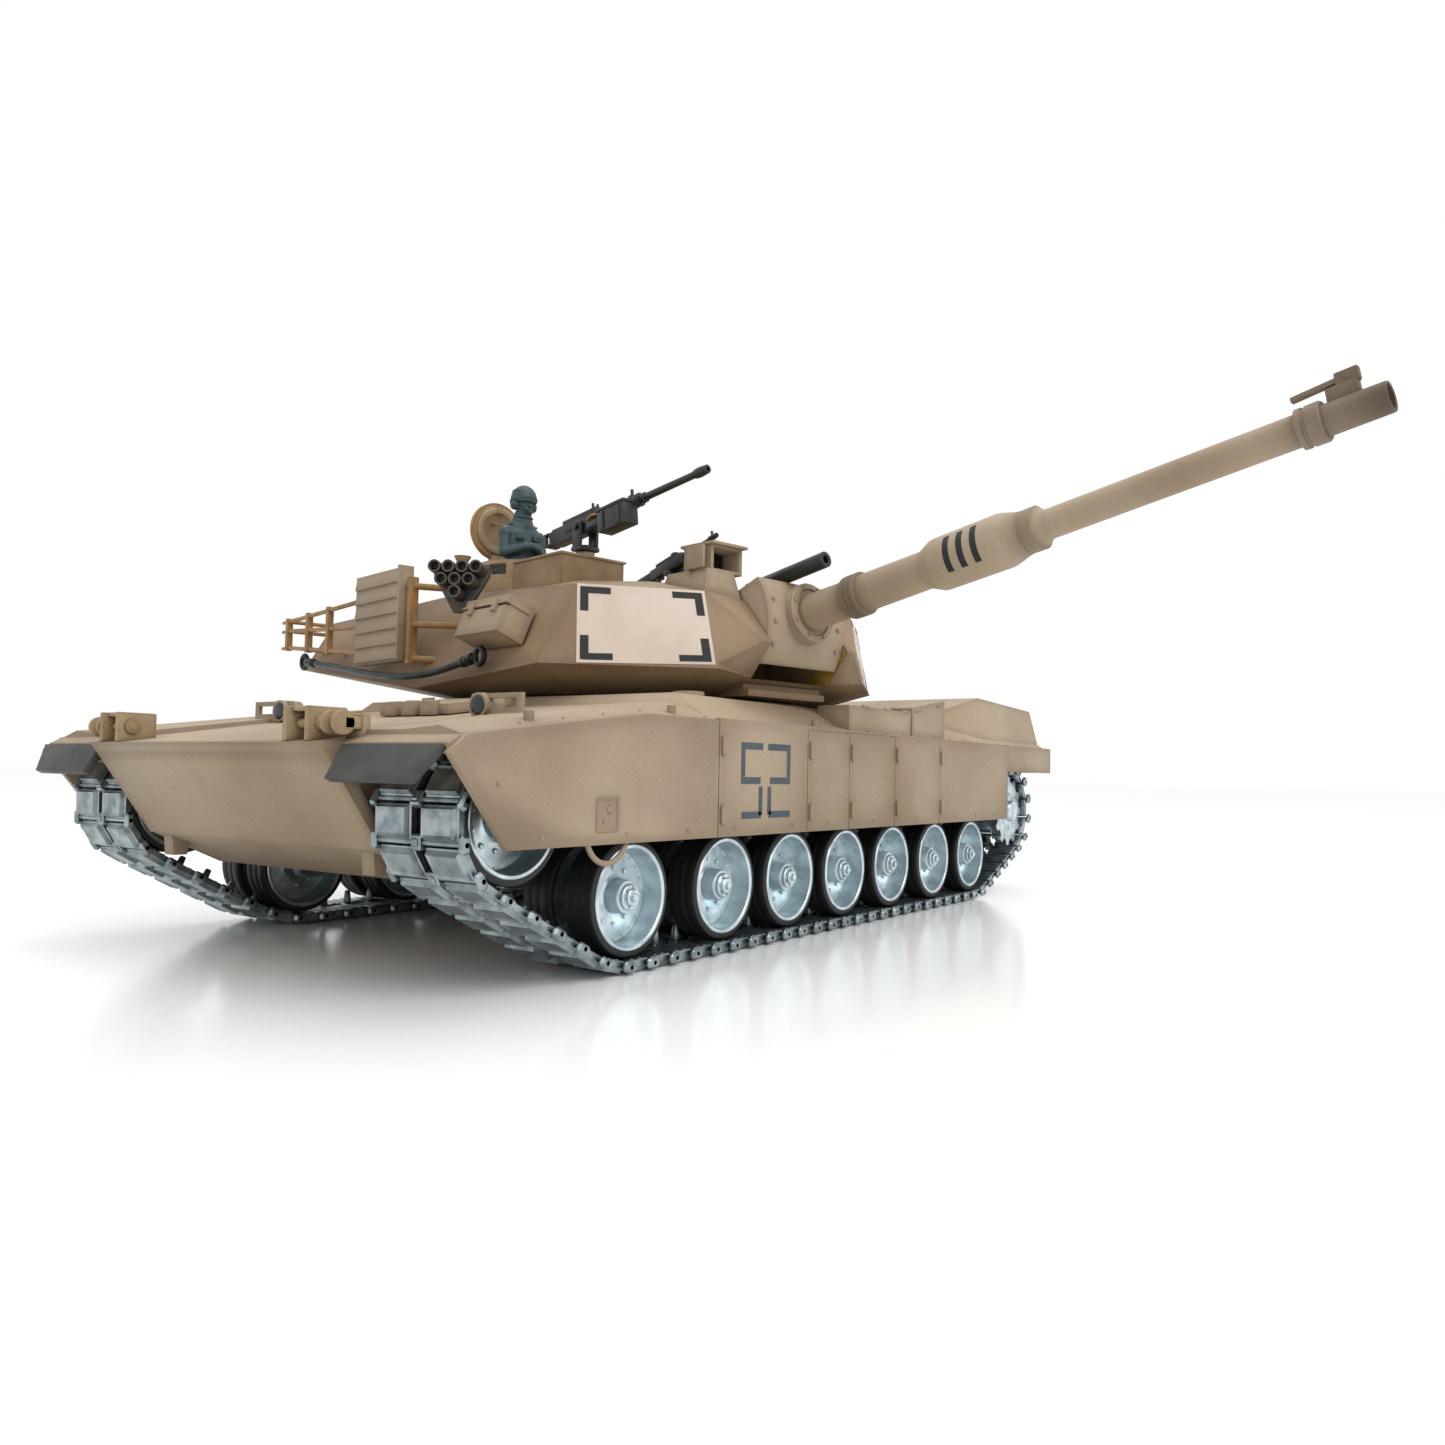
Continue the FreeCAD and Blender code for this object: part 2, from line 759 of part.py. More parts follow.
def sprocket(first_pin):
    """Twin toothed rings on a drum, on the gearbox's output shaft."""
    half = wheel_face_y - track_centre_y
    circle = track_pitch / (2.0 * math.sin(math.pi / sprocket_teeth))
    tip = circle * math.cos(math.pi / sprocket_teeth) - track_inner - track_gap
    root = tip - 3.0
    phase = math.atan2(first_pin[1] - sprocket_z, first_pin[0] - sprocket_x)
    outline = []
    for i in range(sprocket_teeth):
        for share, radius in ((-0.30, root), (-0.16, tip), (0.16, tip), (0.30, root)):
            turn = phase + (i + share) * 2.0 * math.pi / sprocket_teeth
            outline.append((radius * math.cos(turn), radius * math.sin(turn)))
    metal = [disc_y(12.0, -half + 4.0, half - 4.0)]
    for side in (-1, 1):
        y0, y1 = sorted((side * (half - 1.0), side * (half - 5.0)))
        ring = prism_y(outline, y0, y1)
        metal.append(ring)
    metal.append(disc_y(6.0, half - 2.0, half + 2.2))
    for i in range(8):
        turn = math.radians(45.0 * i)
        metal.append(disc_y(1.0, half - 1.5, half + 0.1, 9.5 * math.cos(turn), 9.5 * math.sin(turn)))
    shaft_end = 42.0 - track_centre_y
    metal.append(disc_y(shaft_radius, shaft_end, -half + 5.0))
    return fuse(metal)


def swing_arms(idler_x):
    """Suspension arms with their stub axles, roller brackets and the idler arm."""
    inner_y = tub_half
    arm_y = tub_half + 5.0
    stub_y = wheel_face_y - 6.0
    arms = []
    for x in wheel_x:
        pivot = (x + 17.0, belly_z + 9.0)
        arms.append(arm(pivot, (x, wheel_z), inner_y, arm_y, stub_y))
    arms.append(arm((idler_x - 20.0, belly_z + 14.0), (idler_x, idler_z), inner_y, arm_y, stub_y))
    for x in roller_x:
        z = roller_height(idler_x, x)
        boss = disc_y(4.0, inner_y, arm_y, x, z)
        arms.append(fuse([boss, disc_y(axle_radius, arm_y - 1.0, stub_y - 2.5, x, z)]))
    return arms


def arm(pivot, wheel, y0, y1, stub_y):
    radius = 4.5
    bar = disc_y(radius, y0, y1, *pivot)
    end = disc_y(radius, y0 + 1.0, y1, *wheel)
    line = math.atan2(wheel[1] - pivot[1], wheel[0] - pivot[0])
    dx, dz = radius * math.sin(line), radius * math.cos(line)
    web = prism_y(
        [
            (pivot[0] - dx, pivot[1] + dz),
            (wheel[0] - dx, wheel[1] + dz),
            (wheel[0] + dx, wheel[1] - dz),
            (pivot[0] + dx, pivot[1] - dz),
        ],
        y0 + 1.0,
        y1,
    )
    stub = disc_y(axle_radius, y1 - 1.0, stub_y, *wheel)
    return fuse([bar, end, web, stub])


def roller_height(idler_x, x):
    """Centre height that leaves the roller just under the top run."""
    circles = track_circles(idler_x)
    front = circles[2][1] + circles[2][2]
    rear = circles[3][1] + circles[3][2]
    share = (circles[2][0] - x) / (circles[2][0] - circles[3][0])
    return front + share * (rear - front) - track_inner - track_gap - roller_radius


def running_gear():
    idler_x, pins = close_track()
    left_track = track_loop(pins)
    keep("track_left", left_track)
    keep("track_right", [mirror_y(link) for link in left_track])
    arms = swing_arms(idler_x)
    keep("swing_arms_left", arms)
    keep("swing_arms_right", [mirror_y(piece) for piece in arms])
    wheel = road_wheel()
    places = [("idler_{}", wheel, idler_x, idler_z)]
    for i, x in enumerate(wheel_x):
        places.append(("road_wheel_{}_" + str(i + 1), wheel, x, wheel_z))
    roller = return_roller()
    for i, x in enumerate(roller_x):
        places.append(("return_roller_{}_" + str(i + 1), roller, x, roller_height(idler_x, x)))
    places.append(("sprocket_{}", sprocket(pins[0]), sprocket_x, sprocket_z))
    for name, shape, x, z in places:
        placed = shape.copy()
        placed.translate(Vec(x, track_centre_y, z))
        keep(name.format("left"), placed.Solids)
        keep(name.format("right"), mirror_y(placed).Solids)


# ---------------------------------------------------------------- turret

def level(points):
    """Full plan loop from the right-hand points, given from nose to rear."""
    right = [Vec(x, -y, z) for x, y, z in points]
    left = [Vec(x, y, z) for x, y, z in reversed(points)]
    return right + left


def turret_shell():
    """Faceted armour shell, hollow, with the gun slot between the two cheeks."""
    floor = level([
        (70.0, 22.0, turret_floor_z),
        (66.0, 48.0, turret_floor_z),
        (46.0, 66.0, turret_floor_z),
        (-40.0, 72.0, turret_floor_z),
        (-66.0, 58.0, turret_floor_z),
    ])
    belt = level([
        (cheek_front - 2.5, slot_half, belt_z - 2.0),
        (cheek_front, 45.0, belt_z),
        (54.0, 102.5, belt_z),
        (-38.0, side_half, belt_z - 6.0),
        (bustle_rear, side_half - 2.0, bustle_low_z),
    ])
    brow = level([
        (cheek_front + 9.0, slot_half + 4.0, belt_z + 12.0),
        (cheek_front - 0.6, 45.0, belt_z + 2.0),
        (53.6, 101.7, belt_z + 2.0),
        (-38.0, side_half - 0.5, belt_z - 4.0),
        (bustle_rear, side_half - 2.5, bustle_low_z + 2.0),
    ])
    roof = level([
        (90.0, slot_half, roof_front_z - 2.0),
        (cheek_front - 8.5, 45.0, roof_front_z),
        (57.0, roof_half - 1.0, roof_front_z + 1.0),
        (-38.0, roof_half, roof_z - 1.0),
        (bustle_rear, roof_half, roof_z - 3.0),
    ])
    crown = level([
        (58.0, slot_half, roof_z + 1.5),
        (52.0, 45.0, roof_z + 1.0),
        (34.0, 70.0, roof_z),
        (-38.0, 76.0, roof_z),
        (bustle_rear + 6.0, 76.0, roof_z - 2.0),
    ])
    shell = skin([floor, belt, brow, roof, crown])
    slot = box(slot_back, 130.0, -slot_half, slot_half, slot_floor_z, roof_z + 10.0)
    hollow = skin([
        level([(50.0, 20.0, 90.0), (46.0, 50.0, 90.0), (-60.0, 52.0, 90.0)]),
        level([(50.0, 20.0, 110.0), (40.0, 60.0, 110.0), (-60.0, 66.0, 110.0)]),
        level([(50.0, 20.0, 140.0), (36.0, 62.0, 140.0), (-60.0, 66.0, 140.0)]),
    ])
    magazine = box(-150.0, -50.0, -70.0, 70.0, 121.0, 140.0)
    bores = [disc_y(pin_radius + running_gap, -slot_half - 5.0, slot_half + 5.0, trunnion_x, trunnion_z)]
    cupola_hole = disc_z(12.6, 130.0, roof_z + 5.0, cupola_x, cupola_y)
    loader_hole = disc_z(12.6, 130.0, roof_z + 5.0, loader_x, loader_y)
    return cut(shell, [slot, hollow, magazine, cupola_hole, loader_hole] + bores)


def turret_base():
    """Turning ring: flange under the shell, drum in the hull's hole, keeper below."""
    flange = disc_z(ring_radius + 6.0, deck_z + body_gap, turret_floor_z)
    drum = disc_z(ring_radius - running_gap, ring_low_z, deck_z + body_gap)
    keeper = disc_z(ring_radius + 3.0, ring_low_z, deck_z - deck_wall - body_gap)
    hole = disc_z(ring_radius - 8.0, ring_low_z - 1.0, turret_floor_z + 1.0)
    return fuse([flange, drum, keeper]).cut(hole)


def chin_steps():
    """Stepped ledges on the shell's front under the mantlet."""
    steps = []
    for i in range(3):
        reach = 92.0 - i * 3.0
        steps.append(box(70.0, reach, -slot_half + 0.2, slot_half - 0.2, 98.6 + i * 2.6, 101.4 + i * 2.6))
    return steps


def roof_bridge():
    """Roof plate across the back of the gun slot."""
    return box(slot_back - 4.0, 66.0, -slot_half - 0.5, slot_half + 0.5, roof_z - 3.5, roof_z)


def rail_heights(x):
    """Low, middle and top rail of the rack at a station behind its front post."""
    back = rack_front - x
    return 115.3 + 0.105 * back, 130.5 + 0.06 * back, 148.0 - 0.03 * back


def rack_side():
    """Right-hand rails and posts of the stowage rack round the bustle."""
    rail_y = -side_half - 2.0
    pieces = []
    ends = (-24.0, -12.0, -24.0)
    for z_front, z_rear, end in zip(rail_heights(rack_front), rail_heights(rack_rear), ends):
        root = (end, rail_y + 14.0, z_front - 1.5)
        pieces.append(rod((rack_front, rail_y, z_front), root, rod_radius + 0.4))
        pieces.append(rod((rack_rear, rail_y, z_rear), (rack_front, rail_y, z_front), rod_radius))
        tip = (rack_rear - rail_end, rail_y, z_rear)
        pieces.append(rod(tip, (rack_rear, rail_y, z_rear), rod_radius - 0.2))
    pieces.append(box(rack_front - 2.0, rack_front + 1.5, rail_y - 2.0, rail_y + 2.0, 113.0, 152.0))
    for x in rack_posts + [rack_rear]:
        low, middle, top = rail_heights(x)
        pieces.append(box(x - 1.4, x + 1.4, rail_y - 1.6, rail_y + 1.4, low - 1.6, top + 1.6))
    for x in rack_posts:
        low, middle, top = rail_heights(x)
        pieces.append(box(x - 1.2, x + 1.2, rail_y, rail_y + 20.0, low - 1.2, low + 1.2))
    return pieces


def bustle_racks():
    """Open rail rack on both sides and across the back of the turret."""
    side = rack_side()
    pieces = side + [mirror_y(piece) for piece in side]
    half = side_half + 2.0
    low, middle, top = rail_heights(rack_rear)
    for z in (low, middle, top):
        pieces.append(rod((rack_rear, -half, z), (rack_rear, half, z), rod_radius))
    for y in (-70.0, -24.0, 24.0, 70.0):
        pieces.append(box(rack_rear - 1.4, rack_rear + 1.4, y - 1.4, y + 1.4, low - 1.6, top + 1.6))
        pieces.append(rod((rack_rear, y, low), (bustle_rear + 2.0, y, low), rod_radius))
    return fuse(pieces)


def louvred_box():
    """Flat locker with ribbed side on the right of the bustle."""
    wall = side_half - 1.0
    y_in, y_out = -wall, -wall - 7.2
    case = box(locker_rear, locker_front, y_out + 1.2, y_in - 0.4, 114.5, 157.0)
    ribs = []
    for row in range(6):
        z = 115.5 + row * 7.0
        rib = [(y_out + 1.2, z), (y_out, z), (y_out + 1.2, z + 6.4)]
        ribs.append(prism_x(rib, locker_rear + 1.0, locker_front - 1.0))
    rim = box(locker_front - 1.5, locker_front, y_out - 0.4, y_in - 0.4, 114.5, 157.8)
    return fuse([case, rim] + ribs)


def side_bin():
    """Hinged bin on the sloping turret side, tilted with the wall."""
    case = box(3.0, 36.0, -4.0, 9.0, -7.5, 9.0)
    case = case.cut(box(0.0, 40.0, -6.0, -2.6, 4.0, 4.8))
    lid_rim = box(2.4, 36.6, -4.6, 7.0, 4.8, 5.6)
    latches = [box(x, x + 3.0, -5.4, -3.8, 1.4, 6.4) for x in (9.0, 27.0)]
    bin_shape = fuse([case, lid_rim] + latches)
    bin_shape.rotate(Vec(0, 0, 0), axis_x, -22.0)
    bin_shape.translate(Vec(4.0, -106.0, 126.5))
    return bin_shape


def smoke_launchers():
    """Cluster of grenade tubes on a tapered bracket, right-hand side."""
    tubes = []
    back = []
    for row, (count, z) in enumerate(((4, 6.0), (3, 0.6), (1, -4.8))):
        for i in range(count):
            y = (i - (count - 1) / 2.0) * 5.9
            tubes.append(rod((-3.0, y, z), (7.0, y, z), 2.75))
            back.append(rod((2.2, y, z), (8.0, y, z), 1.95))
    cluster = cut(fuse(tubes), back)
    outline = [(-12.0, 9.0), (12.0, 9.0), (12.0, 4.0), (3.0, -12.0), (-3.0, -12.0), (-12.0, 4.0)]
    plate = prism_x(outline, -5.6, -2.8)
    stem = box(-13.0, -4.6, -4.0, 4.0, -9.0, 4.0)
    holder = fuse([plate, stem])
    placed = []
    for shape in (cluster, holder):
        copy = turned(shape, Vec(0, 0, 0), axis_y, -3.0)
        copy.rotate(Vec(0, 0, 0), axis_z, -47.0)
        copy.translate(Vec(-4.0, -104.5, 145.5))
        placed.append(copy)
    return placed


def sight_housing():
    """Gunner's sight box with its two open doors, on a sloped plinth."""
    plinth = skin([
        [Vec(56.0, -44.0, 138.5), Vec(86.0, -44.0, 138.5), Vec(88.0, -25.0, 138.5), Vec(56.0, -25.0, 138.5)],
        [Vec(58.0, -40.0, 151.0), Vec(83.0, -40.0, 151.0), Vec(83.0, -25.0, 151.0), Vec(58.0, -25.0, 151.0)],
    ])
    case = box(66.0, 83.0, -38.0, -20.0, 150.0, 161.5)
    case = case.cut(box(70.0, 84.0, -36.4, -21.6, 151.4, 160.2))
    roof = box(64.8, 85.4, -39.0, -19.0, 161.2, 162.4)
    door = box(74.0, 83.0, -42.5, -41.4, 151.0, 160.5)
    hinge = box(72.0, 75.0, -42.5, -37.5, 151.0, 160.5)
    lens = rod((70.0, -29.0, 155.8), (73.0, -29.0, 155.8), 3.4)
    return fuse([plinth, case, roof, door, hinge, lens])


def cupola():
    """Raised commander's ring with vision slots and the box in front of it."""
    base = disc_z(cupola_radius + 2.5, roof_z - 3.0, roof_z + 8.0, cupola_x, cupola_y)
    drum = disc_z(cupola_radius, roof_z - 2.0, cupola_top_z, cupola_x, cupola_y)
    drum = fuse([base, drum])
    windows = []
    for i in range(8):
        window = box(cupola_radius - 2.0, cupola_radius + 3.0, -4.6, 4.6, roof_z + 9.6, cupola_top_z - 2.0)
        window.rotate(Vec(0, 0, 0), axis_z, 45.0 * i + 22.5)
        window.translate(Vec(cupola_x, cupola_y, 0))
        windows.append(window)
    opening = disc_z(12.6, roof_z + 1.0, cupola_top_z + 1.0, cupola_x, cupola_y)
    front = box(-16.0, box_front, cupola_y - 16.0, cupola_y + 18.0, roof_z - 2.0, box_top_z)
    front = front.cut(disc_z(cupola_radius - 1.0, 130.0, 170.0, cupola_x, cupola_y))
    lip = box(-16.0, box_front + 0.8, cupola_y - 16.8, cupola_y + 18.8, box_top_z - 1.0, box_top_z)
    lip = lip.cut(disc_z(cupola_radius - 1.0, 130.0, 170.0, cupola_x, cupola_y))
    socket = disc_z(4.2, box_top_z - 1.0, box_top_z + 2.0, pintle_x, cupola_y)
    body = fuse([drum, front, lip, socket])
    body = cut(body, windows + [opening])
    body = body.cut(disc_z(2.0 + running_gap, box_top_z - 8.0, box_top_z + 3.0, pintle_x, cupola_y))
    hinge_lugs = []
    for y in (-7.0, 4.0):
        lug = box(-4.5, 3.0, y, y + 3.0, roof_z + 4.0, cupola_top_z + 2.6)
        lug.translate(Vec(cupola_x - cupola_radius, cupola_y, 0))
        hinge_lugs.append(lug)
    body = fuse([body] + hinge_lugs)
    pin = hatch_pin_place()
    return body.cut(disc_y(1.2 + running_gap, cupola_y - 9.0, cupola_y + 9.0, pin[0], pin[1]))


def hatch_pin_place():
    return cupola_x - cupola_radius - 2.4, cupola_top_z + 0.6


def commander_hatch():
    """Round lid standing open behind the ring, with an inner ring and hinge arm."""
    pin_x, pin_z = hatch_pin_place()
    centre_z = pin_z + hatch_radius + 6.0
    lid = Part.makeCylinder(hatch_radius, hatch_thick, Vec(pin_x - 2.6, cupola_y, centre_z), axis_x)
    pad = Part.makeTorus(hatch_radius - 3.4, 1.3, Vec(pin_x + 0.2, cupola_y, centre_z), axis_x)
    arm_block = box(pin_x - 2.6, pin_x + 0.6, cupola_y - 3.6, cupola_y + 3.6, pin_z - 1.9, pin_z + 8.0)
    pin = disc_y(1.2, cupola_y - 8.0, cupola_y + 8.0, pin_x, pin_z)
    return fuse([lid, pad, arm_block, pin])


def loader_ring():
    """Low ring round the loader's hatch, with the swing mount's socket."""
    ring = disc_z(hatch_radius + 3.0, roof_z - 3.0, roof_z + 3.0, loader_x, loader_y)
    ring = ring.cut(disc_z(12.6, roof_z - 4.0, roof_z + 4.0, loader_x, loader_y))
    socket = disc_z(5.0, roof_z - 2.0, 158.0, light_pintle_x, light_pintle_y)
    socket = socket.cut(disc_z(1.6 + running_gap, 150.0, 160.0, light_pintle_x, light_pintle_y))
    pin_x, pin_z = loader_pin_place()
    lugs = [box(pin_x - 2.2, pin_x + 2.0, loader_y + y, loader_y + y + 3.0, roof_z - 2.0, pin_z + 2.0)
            for y in (-8.0, 5.0)]
    body = fuse(lugs)
    body = body.cut(disc_y(1.2 + running_gap, loader_y - 9.0, loader_y + 9.0, pin_x, pin_z))
    return [fuse([ring, body]), socket]


def loader_pin_place():
    return loader_x - hatch_radius - 3.6, roof_z + 5.4


def loader_hatch():
    pin_x, pin_z = loader_pin_place()
    low = roof_z + 3.0 + body_gap
    high = low + hatch_thick
    lid = disc_z(hatch_radius, low, high, loader_x, loader_y)
    bridge = box(pin_x, loader_x - hatch_radius + 3.0, loader_y - 3.0, loader_y + 3.0, low, high)
    knob = box(loader_x - 2.0, loader_x + 6.0, loader_y - 2.0, loader_y + 2.0, high, high + 1.6)
    pin = disc_y(1.2, loader_y - 8.0, loader_y + 8.0, pin_x, pin_z)
    eye = disc_y(1.9, loader_y - 4.6, loader_y + 4.6, pin_x, pin_z)
    return fuse([lid, bridge, knob, pin, eye])


def roof_fittings():
    """Wind sensor, aerial bases and lifting eyes on the roof."""
    sensor = fuse([
        disc_z(2.4, roof_z - 4.0, roof_z + 6.0, -62.0, -70.0),
        disc_z(1.5, roof_z + 5.0, 166.0, -62.0, -70.0),
        Part.makeCone(1.5, 4.2, 5.0, Vec(-62.0, -70.0, 165.0), axis_z),
    ])
    aerials = [disc_z(4.0, roof_z - 4.0, roof_z + 5.0, -128.0, y) for y in (-58.0, 58.0)]
    periscope = box(60.0, 70.0, 30.0, 42.0, 142.0, 152.0)
    return [sensor] + aerials + [periscope]


def commander_figure():
    """Half figure standing in the commander's ring."""
    x, y = cupola_x - 1.0, cupola_y

    def slab(low, high, depth, width):
        ring = Part.Ellipse(Vec(0, 0, 0), width, depth).toShape()
        slice_face = Part.Face(Part.Wire([ring]))
        slice_face.rotate(Vec(0, 0, 0), axis_z, 90.0)
        slice_face.translate(Vec(x, y, low))
        return slice_face.extrude(Vec(0, 0, high - low))

    waist = slab(roof_z + 1.0, 168.0, 5.8, 9.0)
    chest = slab(168.0, 180.5, 6.6, 10.6)
    shoulders = slab(180.5, 184.0, 5.0, 8.2)
    neck = disc_z(3.3, 182.0, 193.0, x + 0.8, y)
    head = Part.makeSphere(5.4, Vec(x + 1.6, y, 193.4))
    helmet = Part.makeSphere(7.0, Vec(x + 1.0, y, 196.6))
    helmet = helmet.cut(box(x - 20, x + 20, y - 20, y + 20, 180.0, 194.6))
    arms = []
    for side in (-1, 1):
        arms.append(rod((x, y + side * 9.4, 178.7), (x + 1.0, y + side * 10.4, 168.7), 2.6))
        arms.append(Part.makeSphere(2.7, Vec(x + 1.0, y + side * 10.3, 168.4)))
        arms.append(rod((x + 1.0, y + side * 10.1, 168.2), (x + 8.0, y + side * 5.5, 171.3), 2.3))
    return fuse([waist, chest, shoulders, neck, head, helmet] + arms)


# ---------------------------------------------------------------- gun

def gun_mantlet():
    """Armoured rotor turning on two pins between the cheeks."""
    half = slot_half - body_gap
    reach = mantlet_radius
    rise = reach * math.tan(math.radians(mantlet_top_angle))
    fall = reach * math.tan(math.radians(mantlet_low_angle))
    wedge = prism_y(
        [
            (trunnion_x - 2.0, trunnion_z - 9.0),
            (trunnion_x + reach, trunnion_z - fall),
            (trunnion_x + reach, trunnion_z + rise),
            (trunnion_x - 2.0, trunnion_z + 9.0),
        ],
        -half,
        half,
    )
    wedge = wedge.common(disc_y(reach, -half, half, trunnion_x, trunnion_z))
    core = disc_y(13.0, -half, half, trunnion_x, trunnion_z)
    collar = rod((trunnion_x + reach - 6.0, 0, trunnion_z), (trunnion_x + reach + 2.0, 0, trunnion_z), 12.6)
    pins = disc_y(pin_radius, -slot_half - 4.5, slot_half + 4.5, trunnion_x, trunnion_z)
    saddle = box(trunnion_x + 4.0, trunnion_x + 16.0, -8.0, 0.0, trunnion_z + 9.0, trunnion_z + 16.4)
    body = fuse([wedge, core, collar, pins, saddle])
    seat = rod((trunnion_x + barrel_root, 0, trunnion_z), (trunnion_x + reach + 10.0, 0, trunnion_z),
               barrel_root_radius + seat_gap)
    return body.cut(seat)


def gun_barrel():
    """Stepped barrel: root, thermal sleeves, bore evacuator, muzzle collar."""
    steps = [
        (barrel_root, barrel_root_radius),
        (mantlet_radius + 2.3, barrel_root_radius),
        (mantlet_radius + 2.3, 7.9),
        (56.0, 7.6),
        (56.0, 9.0),
        (63.0, 9.0),
        (63.0, 7.7),
        (94.0, 7.5),
        (100.0, 10.2),
        (130.0, 10.2),
        (137.0, 8.0),
        (144.0, 8.0),
        (144.0, 7.0),
        (147.0, 5.4),
        (muzzle_reach - 25.0, 5.1),
        (muzzle_reach - 25.0, 6.3),
        (muzzle_reach - 17.5, 6.3),
        (muzzle_reach - 17.5, 4.9),
        (muzzle_reach, 4.7),
        (muzzle_reach, gun_bore_radius),
        (muzzle_reach - 60.0, gun_bore_radius),
        (muzzle_reach - 60.0, 0.0),
        (barrel_root, 0.0),
    ]
    points = [Vec(trunnion_x + reach, 0, trunnion_z + radius) for reach, radius in steps]
    barrel = face(points).revolve(Vec(trunnion_x, 0, trunnion_z), axis_x, 360.0)
    foot_x = trunnion_x + muzzle_reach
    sight = prism_y(
        [
            (foot_x - 26.0, trunnion_z + 9.6),
            (foot_x - 14.0, trunnion_z + 4.2),
            (foot_x - 6.0, trunnion_z + 4.2),
            (foot_x - 6.0, trunnion_z + 12.6),
            (foot_x - 12.0, trunnion_z + 12.6),
            (foot_x - 25.0, trunnion_z + 10.6),
        ],
        -1.6,
        1.6,
    )
    sight = sight.cut(disc_y(1.3, -3.0, 3.0, foot_x - 14.0, trunnion_z + 9.2))
    return fuse([barrel, sight])


def mantlet_gun():
    """Short auxiliary tube on a cradle above the mantlet."""
    y = -4.0
    z = trunnion_z + 18.5
    tube = rod((trunnion_x + 12.0, y, z), (trunnion_x + 48.0, y, z), 3.4)
    tube = tube.cut(rod((trunnion_x + 34.0, y, z), (trunnion_x + 50.0, y, z), 1.8))
    foot = box(trunnion_x + 8.0, trunnion_x + 15.0, y - 3.0, y + 3.0, trunnion_z + 16.4, z + 1.0)
    return fuse([tube, foot])


def elevation_motor():
    """Gear motor inside the shell behind the gun slot."""
    case = box(22.0, 50.0, -12.0, 12.0, 112.0, 134.0)
    motor = rod((-10.0, 0.0, 123.0), (22.0, 0.0, 123.0), 9.0)
    return fuse([case, motor])


# ---------------------------------------------------------------- machine guns

def heavy_mg_cradle():
    """Pintle and fork for the heavy machine gun, level, pivot along Y."""
    x, y, z = pintle_x, cupola_y, heavy_pivot_z
    post = disc_z(2.0, box_top_z - 6.0, box_top_z + 6.0, x, y)
    base = box(x - 4.0, x + 4.0, y - 5.2, y + 5.2, box_top_z + 2.0 + body_gap, box_top_z + 4.6)
    ears = []
    for y0 in (-5.2, 3.7):
        ears.append(box(x - 3.0, x + 3.0, y + y0, y + y0 + 1.5, box_top_z + 4.0, z + 2.6))
    body = fuse([post, base] + ears)
    return body.cut(disc_y(1.0 + running_gap, y - 7.0, y + 7.0, x, z))


def heavy_mg():
    """Heavy machine gun: receiver, jacket, barrel, grips, sights and ammunition box."""
    x, y, z = pintle_x, cupola_y, heavy_pivot_z
    half = 3.2
    receiver = box(x - 22.0, x + 21.0, y - half, y + half, z - 3.2, z + 5.2)
    cover = box(x - 14.0, x + 11.0, y - 2.8, y + 2.8, z + 5.0, z + 6.6)
    back = box(x - 24.5, x - 22.0, y - half, y + half, z - 2.6, z + 3.8)
    grips = [rod((x - 27.5, y + s * 2.2, z - 2.0), (x - 27.5, y + s * 2.2, z + 3.2), 0.8) for s in (-1, 1)]
    grip_bars = [box(x - 28.0, x - 24.0, y - 3.0, y + 3.0, z + b, z + b + 1.0) for b in (-2.2, 2.6)]
    jacket = rod((x + 21.0, y, z + 1.6), (x + 39.0, y, z + 1.6), 2.7)
    barrel = rod((x + 39.0, y, z + 1.6), (x + 81.0, y, z + 1.6), 1.55)
    crown = rod((x + 78.0, y, z + 1.6), (x + 82.0, y, z + 1.6), 1.8)
    front_sight = box(x + 33.0, x + 34.6, y - 0.6, y + 0.6, z + 4.0, z + 7.4)
    rear_sight = box(x + 7.0, x + 10.0, y - 1.6, y + 1.6, z + 6.4, z + 8.6)
    can = box(x + 15.0, x + 33.0, y - 9.5, y - half + 0.2, z - 9.0, z + 2.2)
    tray = box(x + 11.0, x + 16.0, y - 8.0, y - half + 0.2, z - 3.0, z + 3.0)
    pin = disc_y(1.0, y - 6.2, y + 6.2, x, z)
    feed = [can, tray, pin]
    sights = [front_sight, rear_sight]
    return fuse([receiver, cover, back, jacket, barrel, crown] + sights + feed + grips + grip_bars)


def light_mg():
    """Light machine gun on its own swing post, level."""
    x, y, z = light_pintle_x, light_pintle_y, light_pivot_z
    post = disc_z(1.6, 152.0, z - 2.0, x, y)
    collar = disc_z(3.0, 158.0 + body_gap, 160.2, x, y)
    receiver = box(x - 14.0, x + 12.0, y - 2.0, y + 2.0, z - 2.6, z + 3.4)
    outline = [(x - 27.0, z - 3.4), (x - 27.0, z + 2.6), (x - 14.0, z + 2.2), (x - 14.0, z - 1.8)]
    stock = prism_y(outline, y - 1.5, y + 1.5)
    grip = box(x - 11.0, x - 8.4, y - 1.2, y + 1.2, z - 6.4, z - 2.0)
    barrel = rod((x + 12.0, y, z + 1.2), (x + 37.0, y, z + 1.2), 1.1)
    gas = rod((x + 12.0, y, z - 1.2), (x + 26.0, y, z - 1.2), 0.9)
    pouch = box(x + 0.0, x + 9.0, y + 1.8, y + 7.0, z - 6.0, z + 1.0)
    top = box(x - 8.0, x + 8.0, y - 1.6, y + 1.6, z + 3.2, z + 4.6)
    gun = fuse([receiver, stock, grip, barrel, gas, pouch, top])
    gun.rotate(Vec(x, y, z), axis_y, -light_mg_pitch)
    return fuse([gun, post, collar])


# ---------------------------------------------------------------- tow cable

